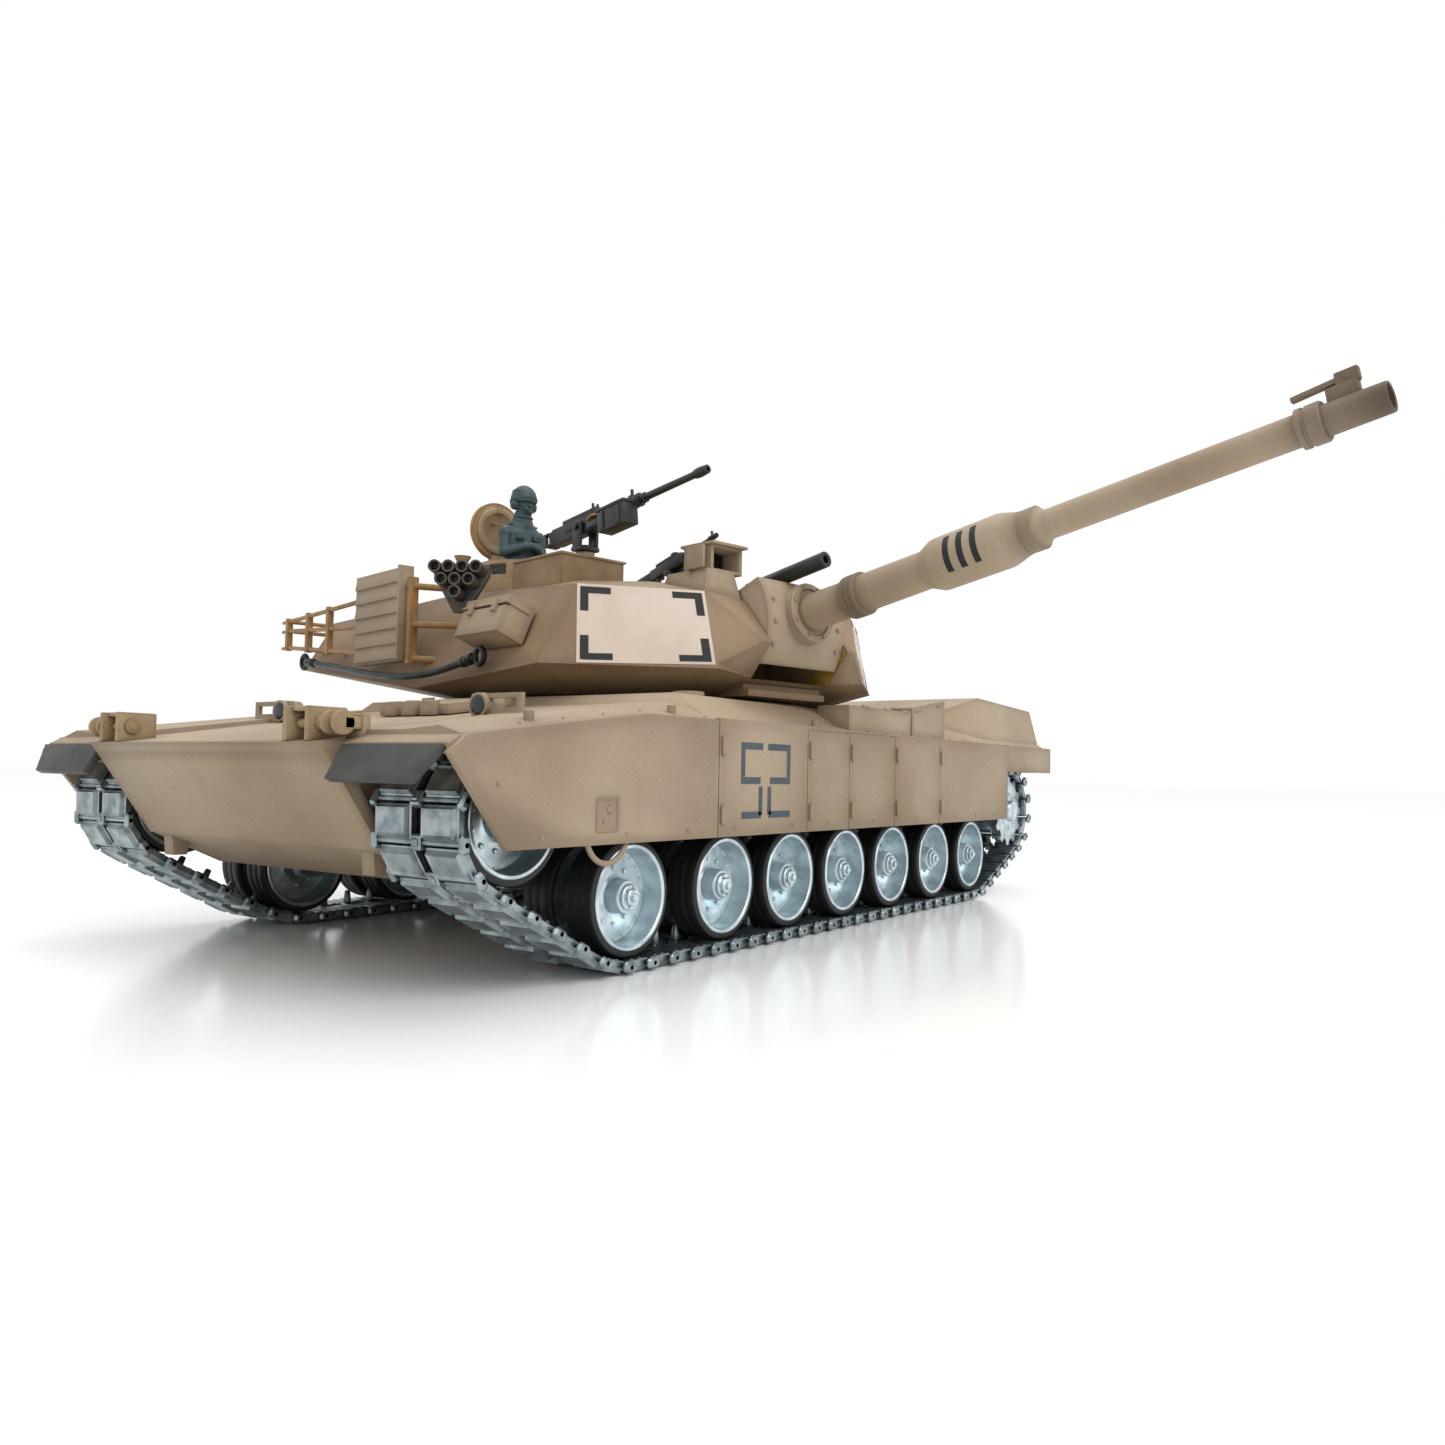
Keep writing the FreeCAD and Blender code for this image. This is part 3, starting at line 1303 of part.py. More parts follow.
def cable_route():
    """Corner points of the slack cable under the right-hand rack, rear eye to front eye."""
    return [
        Vec(-141.0, -108.4, 119.0),
        Vec(-124.0, -108.6, 117.0),
        Vec(-100.0, -109.4, 113.6),
        Vec(-74.0, -110.2, 109.8),
        Vec(-46.0, -110.4, 106.9),
        Vec(-24.0, -109.8, 106.6),
        Vec(-6.0, -109.0, 108.2),
        Vec(8.0, -108.4, 110.4),
    ]


def rounded_wire(points):
    """Straight runs joined by arcs as large as the runs allow."""
    edges = []
    last = points[0]
    for before, corner, after in zip(points, points[1:], points[2:]):
        arrive = (corner - before).normalize()
        leave = (after - corner).normalize()
        turn = arrive.getAngle(leave)
        run = min((corner - before).Length, (after - corner).Length)
        setback = 0.45 * run
        radius = setback / math.tan(turn / 2.0)
        start = corner - arrive * setback
        end = corner + leave * setback
        inward = (leave - arrive).normalize()
        middle = corner + inward * (radius / math.cos(turn / 2.0) - radius)
        print("cable arc radius", round(radius, 1))
        edges.append(Part.LineSegment(last, start).toShape())
        edges.append(Part.Arc(start, middle, end).toShape())
        last = end
    edges.append(Part.LineSegment(last, points[-1]).toShape())
    return Part.Wire(edges)


def tow_cable():
    route = cable_route()
    wire = rounded_wire(route)
    section = Part.Wire([Part.Circle(route[0], route[1] - route[0], cable_radius).toShape()])
    tube = wire.makePipeShell([section], True, False)
    swept = math.pi * cable_radius ** 2 * wire.Length
    print("cable volume", round(tube.Volume, 2), "section by length", round(swept, 2))
    return tube


def cable_eye(end, inward):
    """Socket and forged eye on one end of the cable."""
    out = (end - inward).normalize()
    socket = Part.makeCone(1.9, 2.5, 8.0, end, out)
    centre = end + out * 12.4
    ring = Part.makeTorus(3.4, 1.2, centre, axis_y)
    link = Part.makeCylinder(1.4, 3.0, end + out * 7.0, out)
    return fuse([socket, link, ring])


def cable_eyes():
    route = cable_route()
    return [cable_eye(route[0], route[1]), cable_eye(route[-1], route[-2])]


# ---------------------------------------------------------------- assembly

def driver_hatch():
    """Wedge-shaped lid on the glacis, turning about a post square to the plate."""
    plate = box(-16.0, 16.0, -20.0, 20.0, 0.0, 4.0)
    scope_row = [box(15.0, 19.0, y - 3.6, y + 3.6, 0.0, 5.4) for y in (-11.0, 0.0, 11.0)]
    post = disc_z(2.6, 0.0, 5.0, -10.0, -22.0)
    lid = fuse([plate, post] + scope_row)
    return on_glacis(lid)


def on_glacis(shape):
    """Lay a piece modelled on the XY plane on the sloping front plate."""
    slope = math.degrees(math.atan2(deck_z - 3.0 - nose_z, nose_x - deck_front_x))
    placed = turned(shape, Vec(0, 0, 0), axis_y, slope)
    x = 136.0
    placed.translate(Vec(x, 0, glacis_z(x) + body_gap))
    return placed


def hull():
    lips = both_sides(fender_lip())
    top = fuse([upper_hull()] + lips)
    keep("upper_hull", top)
    tub = lower_hull()
    keep("lower_hull", tub)
    panels = side_skirt()
    keep("side_skirt_left", panels)
    keep("side_skirt_right", [mirror_y(panel) for panel in panels])
    keep("front_mudflaps", [flap.cut(top) for flap in both_sides(front_mudflap())])
    bracket, bow = tow_shackle()
    keep("front_tow_shackles", [piece.cut(top) for piece in both_sides(bracket) + both_sides(bow)])
    keep("rear_grille", rear_grille())
    keep("driver_hatch", driver_hatch())
    hull_internals(tub)


def turret():
    shell = fuse([turret_shell(), roof_bridge()] + chin_steps())
    keep("turret_shell", on_turret(shell))

    def seated(pieces, *others):
        """Pieces that sit on the shell, cut back to its surface and their neighbours'."""
        return [on_turret(cut(piece, (shell,) + others)) for piece in pieces]

    locker = louvred_box()
    lockers = both_sides(locker)
    launchers = smoke_launchers()
    ring, socket = loader_ring()
    keep("turret_base", seated([turret_base()]))
    keep("roof_fittings", seated(roof_fittings() + [ring, socket]))
    keep("stowage_boxes", seated(lockers + both_sides(side_bin())))
    keep("bustle_racks", seated([bustle_racks()], *lockers))
    keep("smoke_launchers", seated(launchers + [mirror_y(piece) for piece in launchers]))
    keep("sight_housing", seated([sight_housing()]))
    station = cupola()
    keep("commander_cupola", seated([station]))
    keep("commander_figure", seated([commander_figure()], station))
    keep("commander_hatch", on_turret(commander_hatch()))
    keep("loader_hatch", on_turret(loader_hatch()))
    keep("elevation_motor", on_turret(elevation_motor()))
    keep("tow_cable", on_turret(tow_cable()))
    keep("tow_cable_eyes", seated(cable_eyes()))
    mantlet = gun_mantlet()
    keep("gun_mantlet", on_gun(mantlet))
    keep("gun_barrel", on_gun(gun_barrel()))
    keep("mantlet_gun", on_gun(mantlet_gun().cut(mantlet)))
    keep("heavy_mg_cradle", on_turret(heavy_mg_cradle()))
    pivot = Vec(pintle_x, cupola_y, heavy_pivot_z)
    keep("heavy_mg", on_turret(turned(heavy_mg(), pivot, axis_y, -heavy_mg_pitch)))
    keep("light_mg", on_turret(light_mg()))


def main():
    hull()
    running_gear()
    turret()
    os.makedirs("parts", exist_ok=True)
    for name, shape in nodes.items():
        shape.exportStep("parts/" + name + ".step")
        print(name, len(shape.Solids), "solids", round(shape.Volume, 1), "mm3", shape.isValid())
    print(len(nodes), "nodes")


main()
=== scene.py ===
import math

import bmesh
import bpy
from mathutils import Matrix, Vector
from mathutils.bvhtree import BVHTree


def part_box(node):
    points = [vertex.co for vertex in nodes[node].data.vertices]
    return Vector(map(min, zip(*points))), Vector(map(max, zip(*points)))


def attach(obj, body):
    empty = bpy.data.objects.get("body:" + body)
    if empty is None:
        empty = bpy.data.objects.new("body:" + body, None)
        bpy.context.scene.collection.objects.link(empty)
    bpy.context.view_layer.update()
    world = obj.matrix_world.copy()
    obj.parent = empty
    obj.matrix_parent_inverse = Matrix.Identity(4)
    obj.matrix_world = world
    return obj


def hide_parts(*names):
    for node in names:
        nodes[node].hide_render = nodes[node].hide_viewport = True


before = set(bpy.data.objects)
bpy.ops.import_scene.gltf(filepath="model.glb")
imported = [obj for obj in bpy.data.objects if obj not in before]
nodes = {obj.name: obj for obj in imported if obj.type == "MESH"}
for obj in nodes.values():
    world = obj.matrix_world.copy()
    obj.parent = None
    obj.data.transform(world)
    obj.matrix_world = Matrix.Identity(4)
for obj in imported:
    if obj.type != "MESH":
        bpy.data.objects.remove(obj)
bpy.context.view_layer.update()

mm = 0.001


# where things stand: the turret is turned on its ring and the gun is raised about its trunnion
stance = {
    "ring": (8.4, 0.0, 0.0),
    "traverse": 78.5,
    "trunnion": (72.6, 0.0, 128.5),
    "gunRaise": 10.6,
    "heavyPivot": (17.0, -54.0, 175.0),
    "heavyRaise": 7.0,
    "lightPivot": (-8.0, 17.0, 171.0),
    "lightRaise": 16.0,
}


def shift(place):
    return Matrix.Translation(Vector(place) * mm)


def raisedAbout(place, degrees):
    return shift(place) @ Matrix.Rotation(math.radians(-degrees), 4, "Y") @ shift([-c for c in place])


turretPlace = shift(stance["ring"]) @ Matrix.Rotation(math.radians(stance["traverse"]), 4, "Z")
gunPlace = turretPlace @ raisedAbout(stance["trunnion"], stance["gunRaise"])
heavyPlace = turretPlace @ raisedAbout(stance["heavyPivot"], stance["heavyRaise"])


# camera, floor and soft studio light

view = {
    "place": (425.99, 338.24, 65.76),
    "azimuth": 214.252,
    "tilt": 2.526,
    "roll": 1.026,
    "lens": 27.22,
    "shiftX": -0.01304,
    "shiftY": 0.00263,
}


def setCamera():
    a, e, r = (math.radians(view[k]) for k in ("azimuth", "tilt", "roll"))
    look = Vector((math.cos(a) * math.cos(e), math.sin(a) * math.cos(e), math.sin(e)))
    level = Vector((math.sin(a), -math.cos(a), 0.0))
    upright = level.cross(look)
    right = math.cos(r) * level + math.sin(r) * upright
    up = -math.sin(r) * level + math.cos(r) * upright
    turn = Matrix((right, up, -look)).transposed().to_4x4()
    lensData = bpy.data.cameras.new("studioCamera")
    lensData.lens = view["lens"]
    lensData.sensor_width = 36.0
    lensData.shift_x = view["shiftX"]
    lensData.shift_y = view["shiftY"]
    lensData.clip_start = 0.01
    lensData.clip_end = 100.0
    camera = bpy.data.objects.new("studioCamera", lensData)
    camera.matrix_world = shift(view["place"]) @ turn
    bpy.context.collection.objects.link(camera)
    bpy.context.scene.camera = camera


# sRGB hex to linear colour
def hexColour(code):
    parts = [int(code[i:i + 2], 16) / 255.0 for i in (0, 2, 4)]
    return [c / 12.92 if c <= 0.04045 else ((c + 0.055) / 1.055) ** 2.4 for c in parts] + [1.0]


def addNode(tree, kind, inputs=(), **settings):
    node = tree.nodes.new(kind)
    for key, value in settings.items():
        setattr(node, key, value)
    for socket, value in dict(inputs).items():
        if isinstance(value, bpy.types.NodeSocket):
            tree.links.new(value, node.inputs[socket])
        else:
            node.inputs[socket].default_value = value
    return node


# finishes


def newFinish(name):
    finish = bpy.data.materials.new(name)
    finish.use_nodes = True
    tree = finish.node_tree
    return finish, tree, tree.nodes["Principled BSDF"]


# matt acrylic sprayed over ABS: cloudy coat, airbrushed brown along edges, oil wash and painted shade in the
# corners
def paintFinish(name, light, deep, airbrush, washAndShade, mottle=60.0, edge=6.0):
    finish, tree, shader = newFinish(name)
    place = addNode(tree, "ShaderNodeTexCoord").outputs["Object"]
    cloud = addNode(tree, "ShaderNodeTexNoise", {"Vector": place, "Scale": 1.0 / (mottle * mm),
                                                 "Detail": 4.0})
    speck = addNode(tree, "ShaderNodeTexNoise", {"Vector": place, "Scale": 1.0 / (1.1 * mm), "Detail": 3.0})
    share = addNode(tree, "ShaderNodeMapRange", {"Value": cloud.outputs["Fac"], "From Min": 0.3,
                                                 "From Max": 0.7}, interpolation_type="SMOOTHSTEP")
    coat = addNode(tree, "ShaderNodeMix", {0: share.outputs["Result"], 6: hexColour(light),
                                           7: hexColour(deep)}, data_type="RGBA")
    share = addNode(tree, "ShaderNodeMapRange", {"Value": speck.outputs["Fac"], "From Min": 0.5,
                                                 "From Max": 0.75, "To Max": 0.16})
    coat = addNode(tree, "ShaderNodeMix", {0: share.outputs["Result"], 6: coat.outputs[2],
                                           7: hexColour(airbrush)}, data_type="RGBA")
    rounded = addNode(tree, "ShaderNodeBevel", {"Radius": edge * mm}, samples=6)
    flat = addNode(tree, "ShaderNodeNewGeometry").outputs["True Normal"]
    facing = addNode(tree, "ShaderNodeVectorMath", {0: rounded.outputs[0], 1: flat}, operation="DOT_PRODUCT")
    share = addNode(tree, "ShaderNodeMapRange", {"Value": facing.outputs["Value"], "From Min": 1.0,
                                                 "From Max": 0.86, "To Max": 0.34},
                    interpolation_type="SMOOTHSTEP")
    coat = addNode(tree, "ShaderNodeMix", {0: share.outputs["Result"], 6: coat.outputs[2],
                                           7: hexColour(airbrush)}, data_type="RGBA")
    # oil wash and painted shade: the last colour is mixed in where the surface is hemmed in by nearby parts
    cover = addNode(tree, "ShaderNodeAmbientOcclusion", {"Distance": 3.2 * mm}, samples=6)
    share = addNode(tree, "ShaderNodeMapRange", {"Value": cover.outputs["AO"], "From Min": 0.72,
                                                 "From Max": 0.15, "To Max": 0.66},
                    interpolation_type="SMOOTHSTEP")
    coat = addNode(tree, "ShaderNodeMix", {0: share.outputs["Result"], 6: coat.outputs[2],
                                           7: hexColour(washAndShade)}, data_type="RGBA")
    tree.links.new(coat.outputs[2], shader.inputs["Base Color"])
    rough = addNode(tree, "ShaderNodeMapRange", {"Value": speck.outputs["Fac"], "To Min": 0.55,
                                                 "To Max": 0.72})
    tree.links.new(rough.outputs["Result"], shader.inputs["Roughness"])
    shader.inputs["IOR"].default_value = 1.47
    peel = addNode(tree, "ShaderNodeTexNoise", {"Vector": place, "Scale": 1.0 / (0.55 * mm)})
    bump = addNode(tree, "ShaderNodeBump", {"Height": peel.outputs["Fac"], "Distance": 0.03 * mm,
                                            "Strength": 0.5})
    tree.links.new(bump.outputs[0], shader.inputs["Normal"])
    return finish


# moulded plastic, rubber or cast metal: even colour with faint clouds, dust and painted shade in corners,
# fine grain
def mouldedFinish(name, light, deep, gloss, dustAndShade, ior=1.5, cloudSize=9.0, depth=0.03, metallic=0.0):
    finish, tree, shader = newFinish(name)
    place = addNode(tree, "ShaderNodeTexCoord").outputs["Object"]
    cloud = addNode(tree, "ShaderNodeTexNoise", {"Vector": place, "Scale": 1.0 / (cloudSize * mm),
                                                 "Detail": 4.0})
    share = addNode(tree, "ShaderNodeMapRange", {"Value": cloud.outputs["Fac"], "From Min": 0.35,
                                                 "From Max": 0.68}, interpolation_type="SMOOTHSTEP")
    coat = addNode(tree, "ShaderNodeMix", {0: share.outputs["Result"], 6: hexColour(light),
                                           7: hexColour(deep)}, data_type="RGBA")
    # dust and painted shade: the last colour goes into the corners, paler dust on the rubbers and black
    # plastic, darker painted shade on the rest
    cover = addNode(tree, "ShaderNodeAmbientOcclusion", {"Distance": 2.0 * mm}, samples=6)
    share = addNode(tree, "ShaderNodeMapRange", {"Value": cover.outputs["AO"], "From Min": 0.7,
                                                 "From Max": 0.1, "To Max": 0.7},
                    interpolation_type="SMOOTHSTEP")
    coat = addNode(tree, "ShaderNodeMix", {0: share.outputs["Result"], 6: coat.outputs[2],
                                           7: hexColour(dustAndShade)}, data_type="RGBA")
    tree.links.new(coat.outputs[2], shader.inputs["Base Color"])
    shader.inputs["Metallic"].default_value = metallic
    rough = addNode(tree, "ShaderNodeMapRange", {"Value": cloud.outputs["Fac"], "To Min": gloss - 0.07,
                                                 "To Max": gloss + 0.09})
    tree.links.new(rough.outputs["Result"], shader.inputs["Roughness"])
    shader.inputs["IOR"].default_value = ior
    grain = addNode(tree, "ShaderNodeTexNoise", {"Vector": place, "Scale": 1.0 / (0.6 * mm)})
    bump = addNode(tree, "ShaderNodeBump", {"Height": grain.outputs["Fac"], "Distance": depth * mm,
                                            "Strength": 0.5})
    tree.links.new(bump.outputs[0], shader.inputs["Normal"])
    return finish


# the gun's paint: sprayed sand with brown soot towards the muzzle and collars
def sootFinish():
    finish = sand.copy()
    finish.name = "sprayed_sand_gun_tube"
    tree = finish.node_tree
    shader = tree.nodes["Principled BSDF"]
    coat = shader.inputs["Base Color"].links[0].from_socket
    place = addNode(tree, "ShaderNodeTexCoord").outputs["Object"]
    home = gunPlace.inverted()
    along = addNode(tree, "ShaderNodeMapping", {"Vector": place, "Location": home.to_translation(),
                                                "Rotation": home.to_euler()})
    reach = addNode(tree, "ShaderNodeSeparateXYZ", {0: along.outputs[0]}).outputs["X"]
    trunnion = stance["trunnion"][0]
    for middle, spread, depth in ((258.0, 30.0, 0.85), (234.0, 16.0, 0.4), (59.0, 12.0, 0.6),
                                  (140.0, 10.0, 0.4)):
        away = addNode(tree, "ShaderNodeMath", {0: reach, 1: (trunnion + middle) * mm}, operation="SUBTRACT")
        away = addNode(tree, "ShaderNodeMath", {0: away.outputs[0]}, operation="ABSOLUTE")
        near = addNode(tree, "ShaderNodeMapRange", {"Value": away.outputs[0], "From Min": spread * mm,
                                                    "From Max": 0.0, "To Max": depth},
                       interpolation_type="SMOOTHSTEP")
        coat = addNode(tree, "ShaderNodeMix", {0: near.outputs["Result"], 6: coat, 7: hexColour("3E3026")},
                       data_type="RGBA").outputs[2]
    tree.links.new(coat, shader.inputs["Base Color"])
    return finish


# the last colour of each sprayed finish is the oil wash and painted shade in its corners
sand = paintFinish("sprayed_sand_acrylic", "A29179", "8E7C64", "5F4A39", "3A2417")
shell = paintFinish("sprayed_sand_turret", "947E62", "7A644A", "4A3524", "2E1E12", edge=13.0)
tan = paintFinish("sprayed_tan_fittings", "A08C6E", "8A7353", "5E452C", "38220F", edge=1.4, mottle=14.0)
sootySand = sootFinish()
finishes = {
    "sand": sand,
    "shell": shell,
    "tan": tan,
    "gun": sootySand,
    # the last colour of each moulded finish goes into its corners: dust where it is paler, painted shade
    # where it is darker
    "ochre": mouldedFinish("moulded_ochre_abs", "94703E", "7E5E32", 0.48, "3E2810"),
    "rubber": mouldedFinish("tyre_rubber", "141517", "1B1C1E", 0.55, "2A2724", ior=1.52),
    "flap": mouldedFinish("mudflap_rubber", "3C3E3B", "323432", 0.6, "4A443B", ior=1.52),
    "zincCast": mouldedFinish("zinc_die_casting", "A4ADB0", "7C878B", 0.4, "1E2122", cloudSize=6.0,
                              metallic=1.0),
    "zincWheel": mouldedFinish("satin_zinc_wheel", "D4E0E4", "B2C0C6", 0.36, "3A4247", cloudSize=6.0,
                               metallic=1.0),
    "blackPlastic": mouldedFinish("black_green_abs", "1B201E", "131718", 0.42, "2C312E"),
    "launcher": mouldedFinish("sooted_launcher_abs", "4A443B", "39342D", 0.52, "1C1812"),
    "figure": mouldedFinish("blue_green_vinyl", "31464A", "27393D", 0.55, "16242A", cloudSize=5.0),
    "steel": mouldedFinish("blackened_steel_wire", "353B3C", "25292A", 0.42, "141616", metallic=1.0),
    "motor": mouldedFinish("nickel_plated_can", "9AA0A0", "7E8484", 0.3, "2B2D2C", metallic=1.0),
    "board": mouldedFinish("circuit_board_laminate", "1E5A3A", "174A30", 0.4, "10301F"),
    "battery": mouldedFinish("battery_sleeve_pvc", "2A4C8C", "223F75", 0.35, "14264A"),
    "panel": mouldedFinish("satin_vinyl_panel", "CBBAAC", "C2B1A3", 0.5, "8A7A6A", cloudSize=20.0,
                           depth=0.008),
    "ink": mouldedFinish("matt_black_ink", "0F1314", "161A1B", 0.62, "15191A", depth=0.01),
    "stencil": mouldedFinish("stencil_slate_ink", "3A434C", "444D55", 0.66, "2A3036", depth=0.01),
    "glass": mouldedFinish("tinted_acrylic_lens", "0C1417", "101A1E", 0.12, "0A0D0E", depth=0.004),
    "bare": mouldedFinish("bare_yellow_abs", "A2873A", "8E742F", 0.45, "4E3C14"),
}
print("finishes made", len(finishes))


# modelling helpers


def clear():
    if bpy.context.object and bpy.context.object.mode != "OBJECT":
        bpy.ops.object.mode_set(mode="OBJECT")
    bpy.ops.object.select_all(action="DESELECT")


def editAll(piece):
    clear()
    bpy.context.view_layer.objects.active = piece
    piece.select_set(True)
    bpy.ops.object.mode_set(mode="EDIT")
    bpy.ops.mesh.select_all(action="SELECT")


def leave():
    bpy.ops.object.mode_set(mode="OBJECT")


# opens a piece for editing with only the wanted faces selected
def pickFaces(piece, wanted):
    editAll(piece)
    bpy.ops.mesh.select_all(action="DESELECT")
    shape = bmesh.from_edit_mesh(piece.data)
    for f in shape.faces:
        f.select_set(wanted(f))
    bmesh.update_edit_mesh(piece.data)


def softEdges(piece, size, steps=2):
    editAll(piece)
    bpy.ops.mesh.bevel(offset=size * mm, segments=steps, affect="EDGES", clamp_overlap=True)
    leave()


# box between two corners in mm, its edges rounded
def block(low, high, edge=0.0, steps=2):
    clear()
    bpy.ops.mesh.primitive_cube_add(size=mm, location=[(a + b) / 2 * mm for a, b in zip(low, high)])
    piece = bpy.context.object
    piece.scale = [abs(b - a) for a, b in zip(low, high)]
    bpy.ops.object.transform_apply(location=True, rotation=True, scale=True)
    if edge:
        softEdges(piece, edge, steps)
    return piece


# round bar between two points in mm, tapered if endRadius is given
def rod(start, end, radius, endRadius=None, edge=0.0, sides=20):
    clear()
    start, end = Vector(start), Vector(end)
    run = end - start
    bpy.ops.mesh.primitive_cone_add(vertices=sides, radius1=radius * mm,
                                    radius2=(radius if endRadius is None else endRadius) * mm,
                                    depth=run.length * mm, location=(start + end) / 2 * mm,
                                    rotation=run.to_track_quat("Z", "Y").to_euler())
    piece = bpy.context.object
    bpy.ops.object.transform_apply(location=True, rotation=True, scale=True)
    if edge:
        bevelSharp(piece, edge)
    return piece


def bevelSharp(piece, size, angle=40.0, steps=2):
    tool = piece.modifiers.new("edges", "BEVEL")
    tool.width = size * mm
    tool.segments = steps
    tool.limit_method = "ANGLE"
    tool.angle_limit = math.radians(angle)
    tool.use_clamp_overlap = True
    applyAll(piece)


# new object from a bmesh, which goes
def objectOf(whole, name):
    mesh = bpy.data.meshes.new(name)
    whole.to_mesh(mesh)
    whole.free()
    piece = bpy.data.objects.new(name, mesh)
    bpy.context.collection.objects.link(piece)
    return piece


def thickened(piece, thick, offset):
    skin = piece.modifiers.new("thickness", "SOLIDIFY")
    skin.thickness = thick * mm
    skin.offset = offset
    applyAll(piece)


def applyAll(piece):
    clear()
    bpy.context.view_layer.objects.active = piece
    piece.select_set(True)
    for tool in list(piece.modifiers):
        bpy.ops.object.modifier_apply(modifier=tool.name)


# closed turned shape from (along, radius) points in mm, spun about an axis through the origin
def lathe(profile, axis="X", steps=48):
    mesh = bpy.data.meshes.new("profile")
    flip = {"X": lambda a, r: (a, 0, r), "Y": lambda a, r: (r, a, 0), "Z": lambda a, r: (r, 0, a)}[axis]
    mesh.from_pydata([Vector(flip(a, r)) * mm for a, r in profile],
                     [(i, i + 1) for i in range(len(profile) - 1)], [])
    piece = bpy.data.objects.new("turned", mesh)
    bpy.context.collection.objects.link(piece)
    editAll(piece)
    bpy.ops.mesh.spin(steps=steps, angle=2 * math.pi, center=(0, 0, 0),
                      axis={"X": (1, 0, 0), "Y": (0, 1, 0), "Z": (0, 0, 1)}[axis])
    bpy.ops.mesh.select_all(action="SELECT")
    bpy.ops.mesh.remove_doubles(threshold=0.002 * mm)
    bpy.ops.mesh.normals_make_consistent(inside=False)
    leave()
    return piece


def placed(piece, matrix):
    piece.data.transform(matrix)
    if matrix.determinant() < 0:
        piece.data.flip_normals()
    return piece


def moved(piece, by):
    return placed(piece, shift(by))


def turned(piece, degrees, axis, about=(0, 0, 0)):
    back = [-c for c in about]
    return placed(piece, shift(about) @ Matrix.Rotation(math.radians(degrees), 4, axis) @ shift(back))


def copyOf(piece):
    twin = bpy.data.objects.new(piece.name, piece.data.copy())
    bpy.context.collection.objects.link(twin)
    return twin


def joined(pieces):
    clear()
    for piece in pieces:
        piece.select_set(True)
    bpy.context.view_layer.objects.active = pieces[0]
    bpy.ops.object.join()
    return bpy.context.object


# one mesh holding a copy of the piece at each matrix; the piece itself goes
def repeated(piece, matrices):
    whole = bmesh.new()
    for matrix in matrices:
        mesh = piece.data.copy()
        mesh.transform(matrix)
        if matrix.determinant() < 0:
            mesh.flip_normals()
        whole.from_mesh(mesh)
        bpy.data.meshes.remove(mesh)
    whole.to_mesh(piece.data)
    whole.free()
    return piece


# the piece and its twin on the other side of the centre plane
def mirrored(piece):
    return repeated(piece, [Matrix.Identity(4), Matrix.Scale(-1, 4, (0, 1, 0))])


# names a piece, gives it its finish and smooth shading, and lets it ride
def finished(piece, name, finish, body, angle=32.0):
    clear()
    bpy.context.view_layer.objects.active = piece
    piece.select_set(True)
    bpy.ops.object.shade_smooth_by_angle(angle=math.radians(angle))
    piece.name = name
    piece.data.name = name
    piece.data.materials.clear()
    piece.data.materials.append(finishes[finish])
    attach(piece, body)
    return piece


# stands for a CAD node with the same shape, its mesh merged and its edges rounded like a moulding's
def refined(node, edge, finish, body, angle=28.0, steps=2):
    mesh = nodes[node].data.copy()
    piece = bpy.data.objects.new(node + "_moulding", mesh)
    bpy.context.collection.objects.link(piece)
    editAll(piece)
    bpy.ops.mesh.remove_doubles(threshold=0.004 * mm)
    bpy.ops.mesh.dissolve_limited(angle_limit=math.radians(0.6))
    leave()
    bevelSharp(piece, edge, angle, steps)
    finished(piece, node + "_moulding", finish, body)
    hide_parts(node)
    return piece


# the tow cable under the right-hand rack, first because everything near it clears it

cable = {
    "route": [(-141.0, -108.4, 119.0), (-124.0, -108.6, 117.0), (-100.0, -109.4, 113.6),
              (-74.0, -110.2, 109.8), (-46.0, -110.4, 106.9), (-24.0, -109.8, 106.6), (-6.0, -109.0, 108.2),
              (8.0, -108.4, 110.4)],
    "radius": 1.5,
    "strands": 6,
    "lay": 16.0,  # mm of cable in one turn of a strand
    "eyeRadius": 3.4,
    "eyeWire": 1.2,
}


def routeLine():
    line = bpy.data.curves.new("cableLine", "CURVE")
    line.dimensions = "3D"
    line.resolution_u = 16
    spline = line.splines.new("NURBS")
    spline.points.add(len(cable["route"]) - 1)
    for point, place in zip(spline.points, cable["route"]):
        point.co = (*(turretPlace @ (Vector(place) * mm)), 1.0)
    spline.order_u = 3
    spline.use_endpoint_u = True
    holder = bpy.data.objects.new("cableLine", line)
    bpy.context.collection.objects.link(holder)
    mesh = bpy.data.meshes.new_from_object(holder)
    points = [v.co.copy() for v in mesh.vertices]
    bpy.data.objects.remove(holder)
    return points


def alongLine(points, step):
    spaced = [points[0]]
    for point in points[1:]:
        if (point - spaced[-1]).length >= step:
            spaced.append(point)
    spaced[-1] = points[-1]
    return spaced


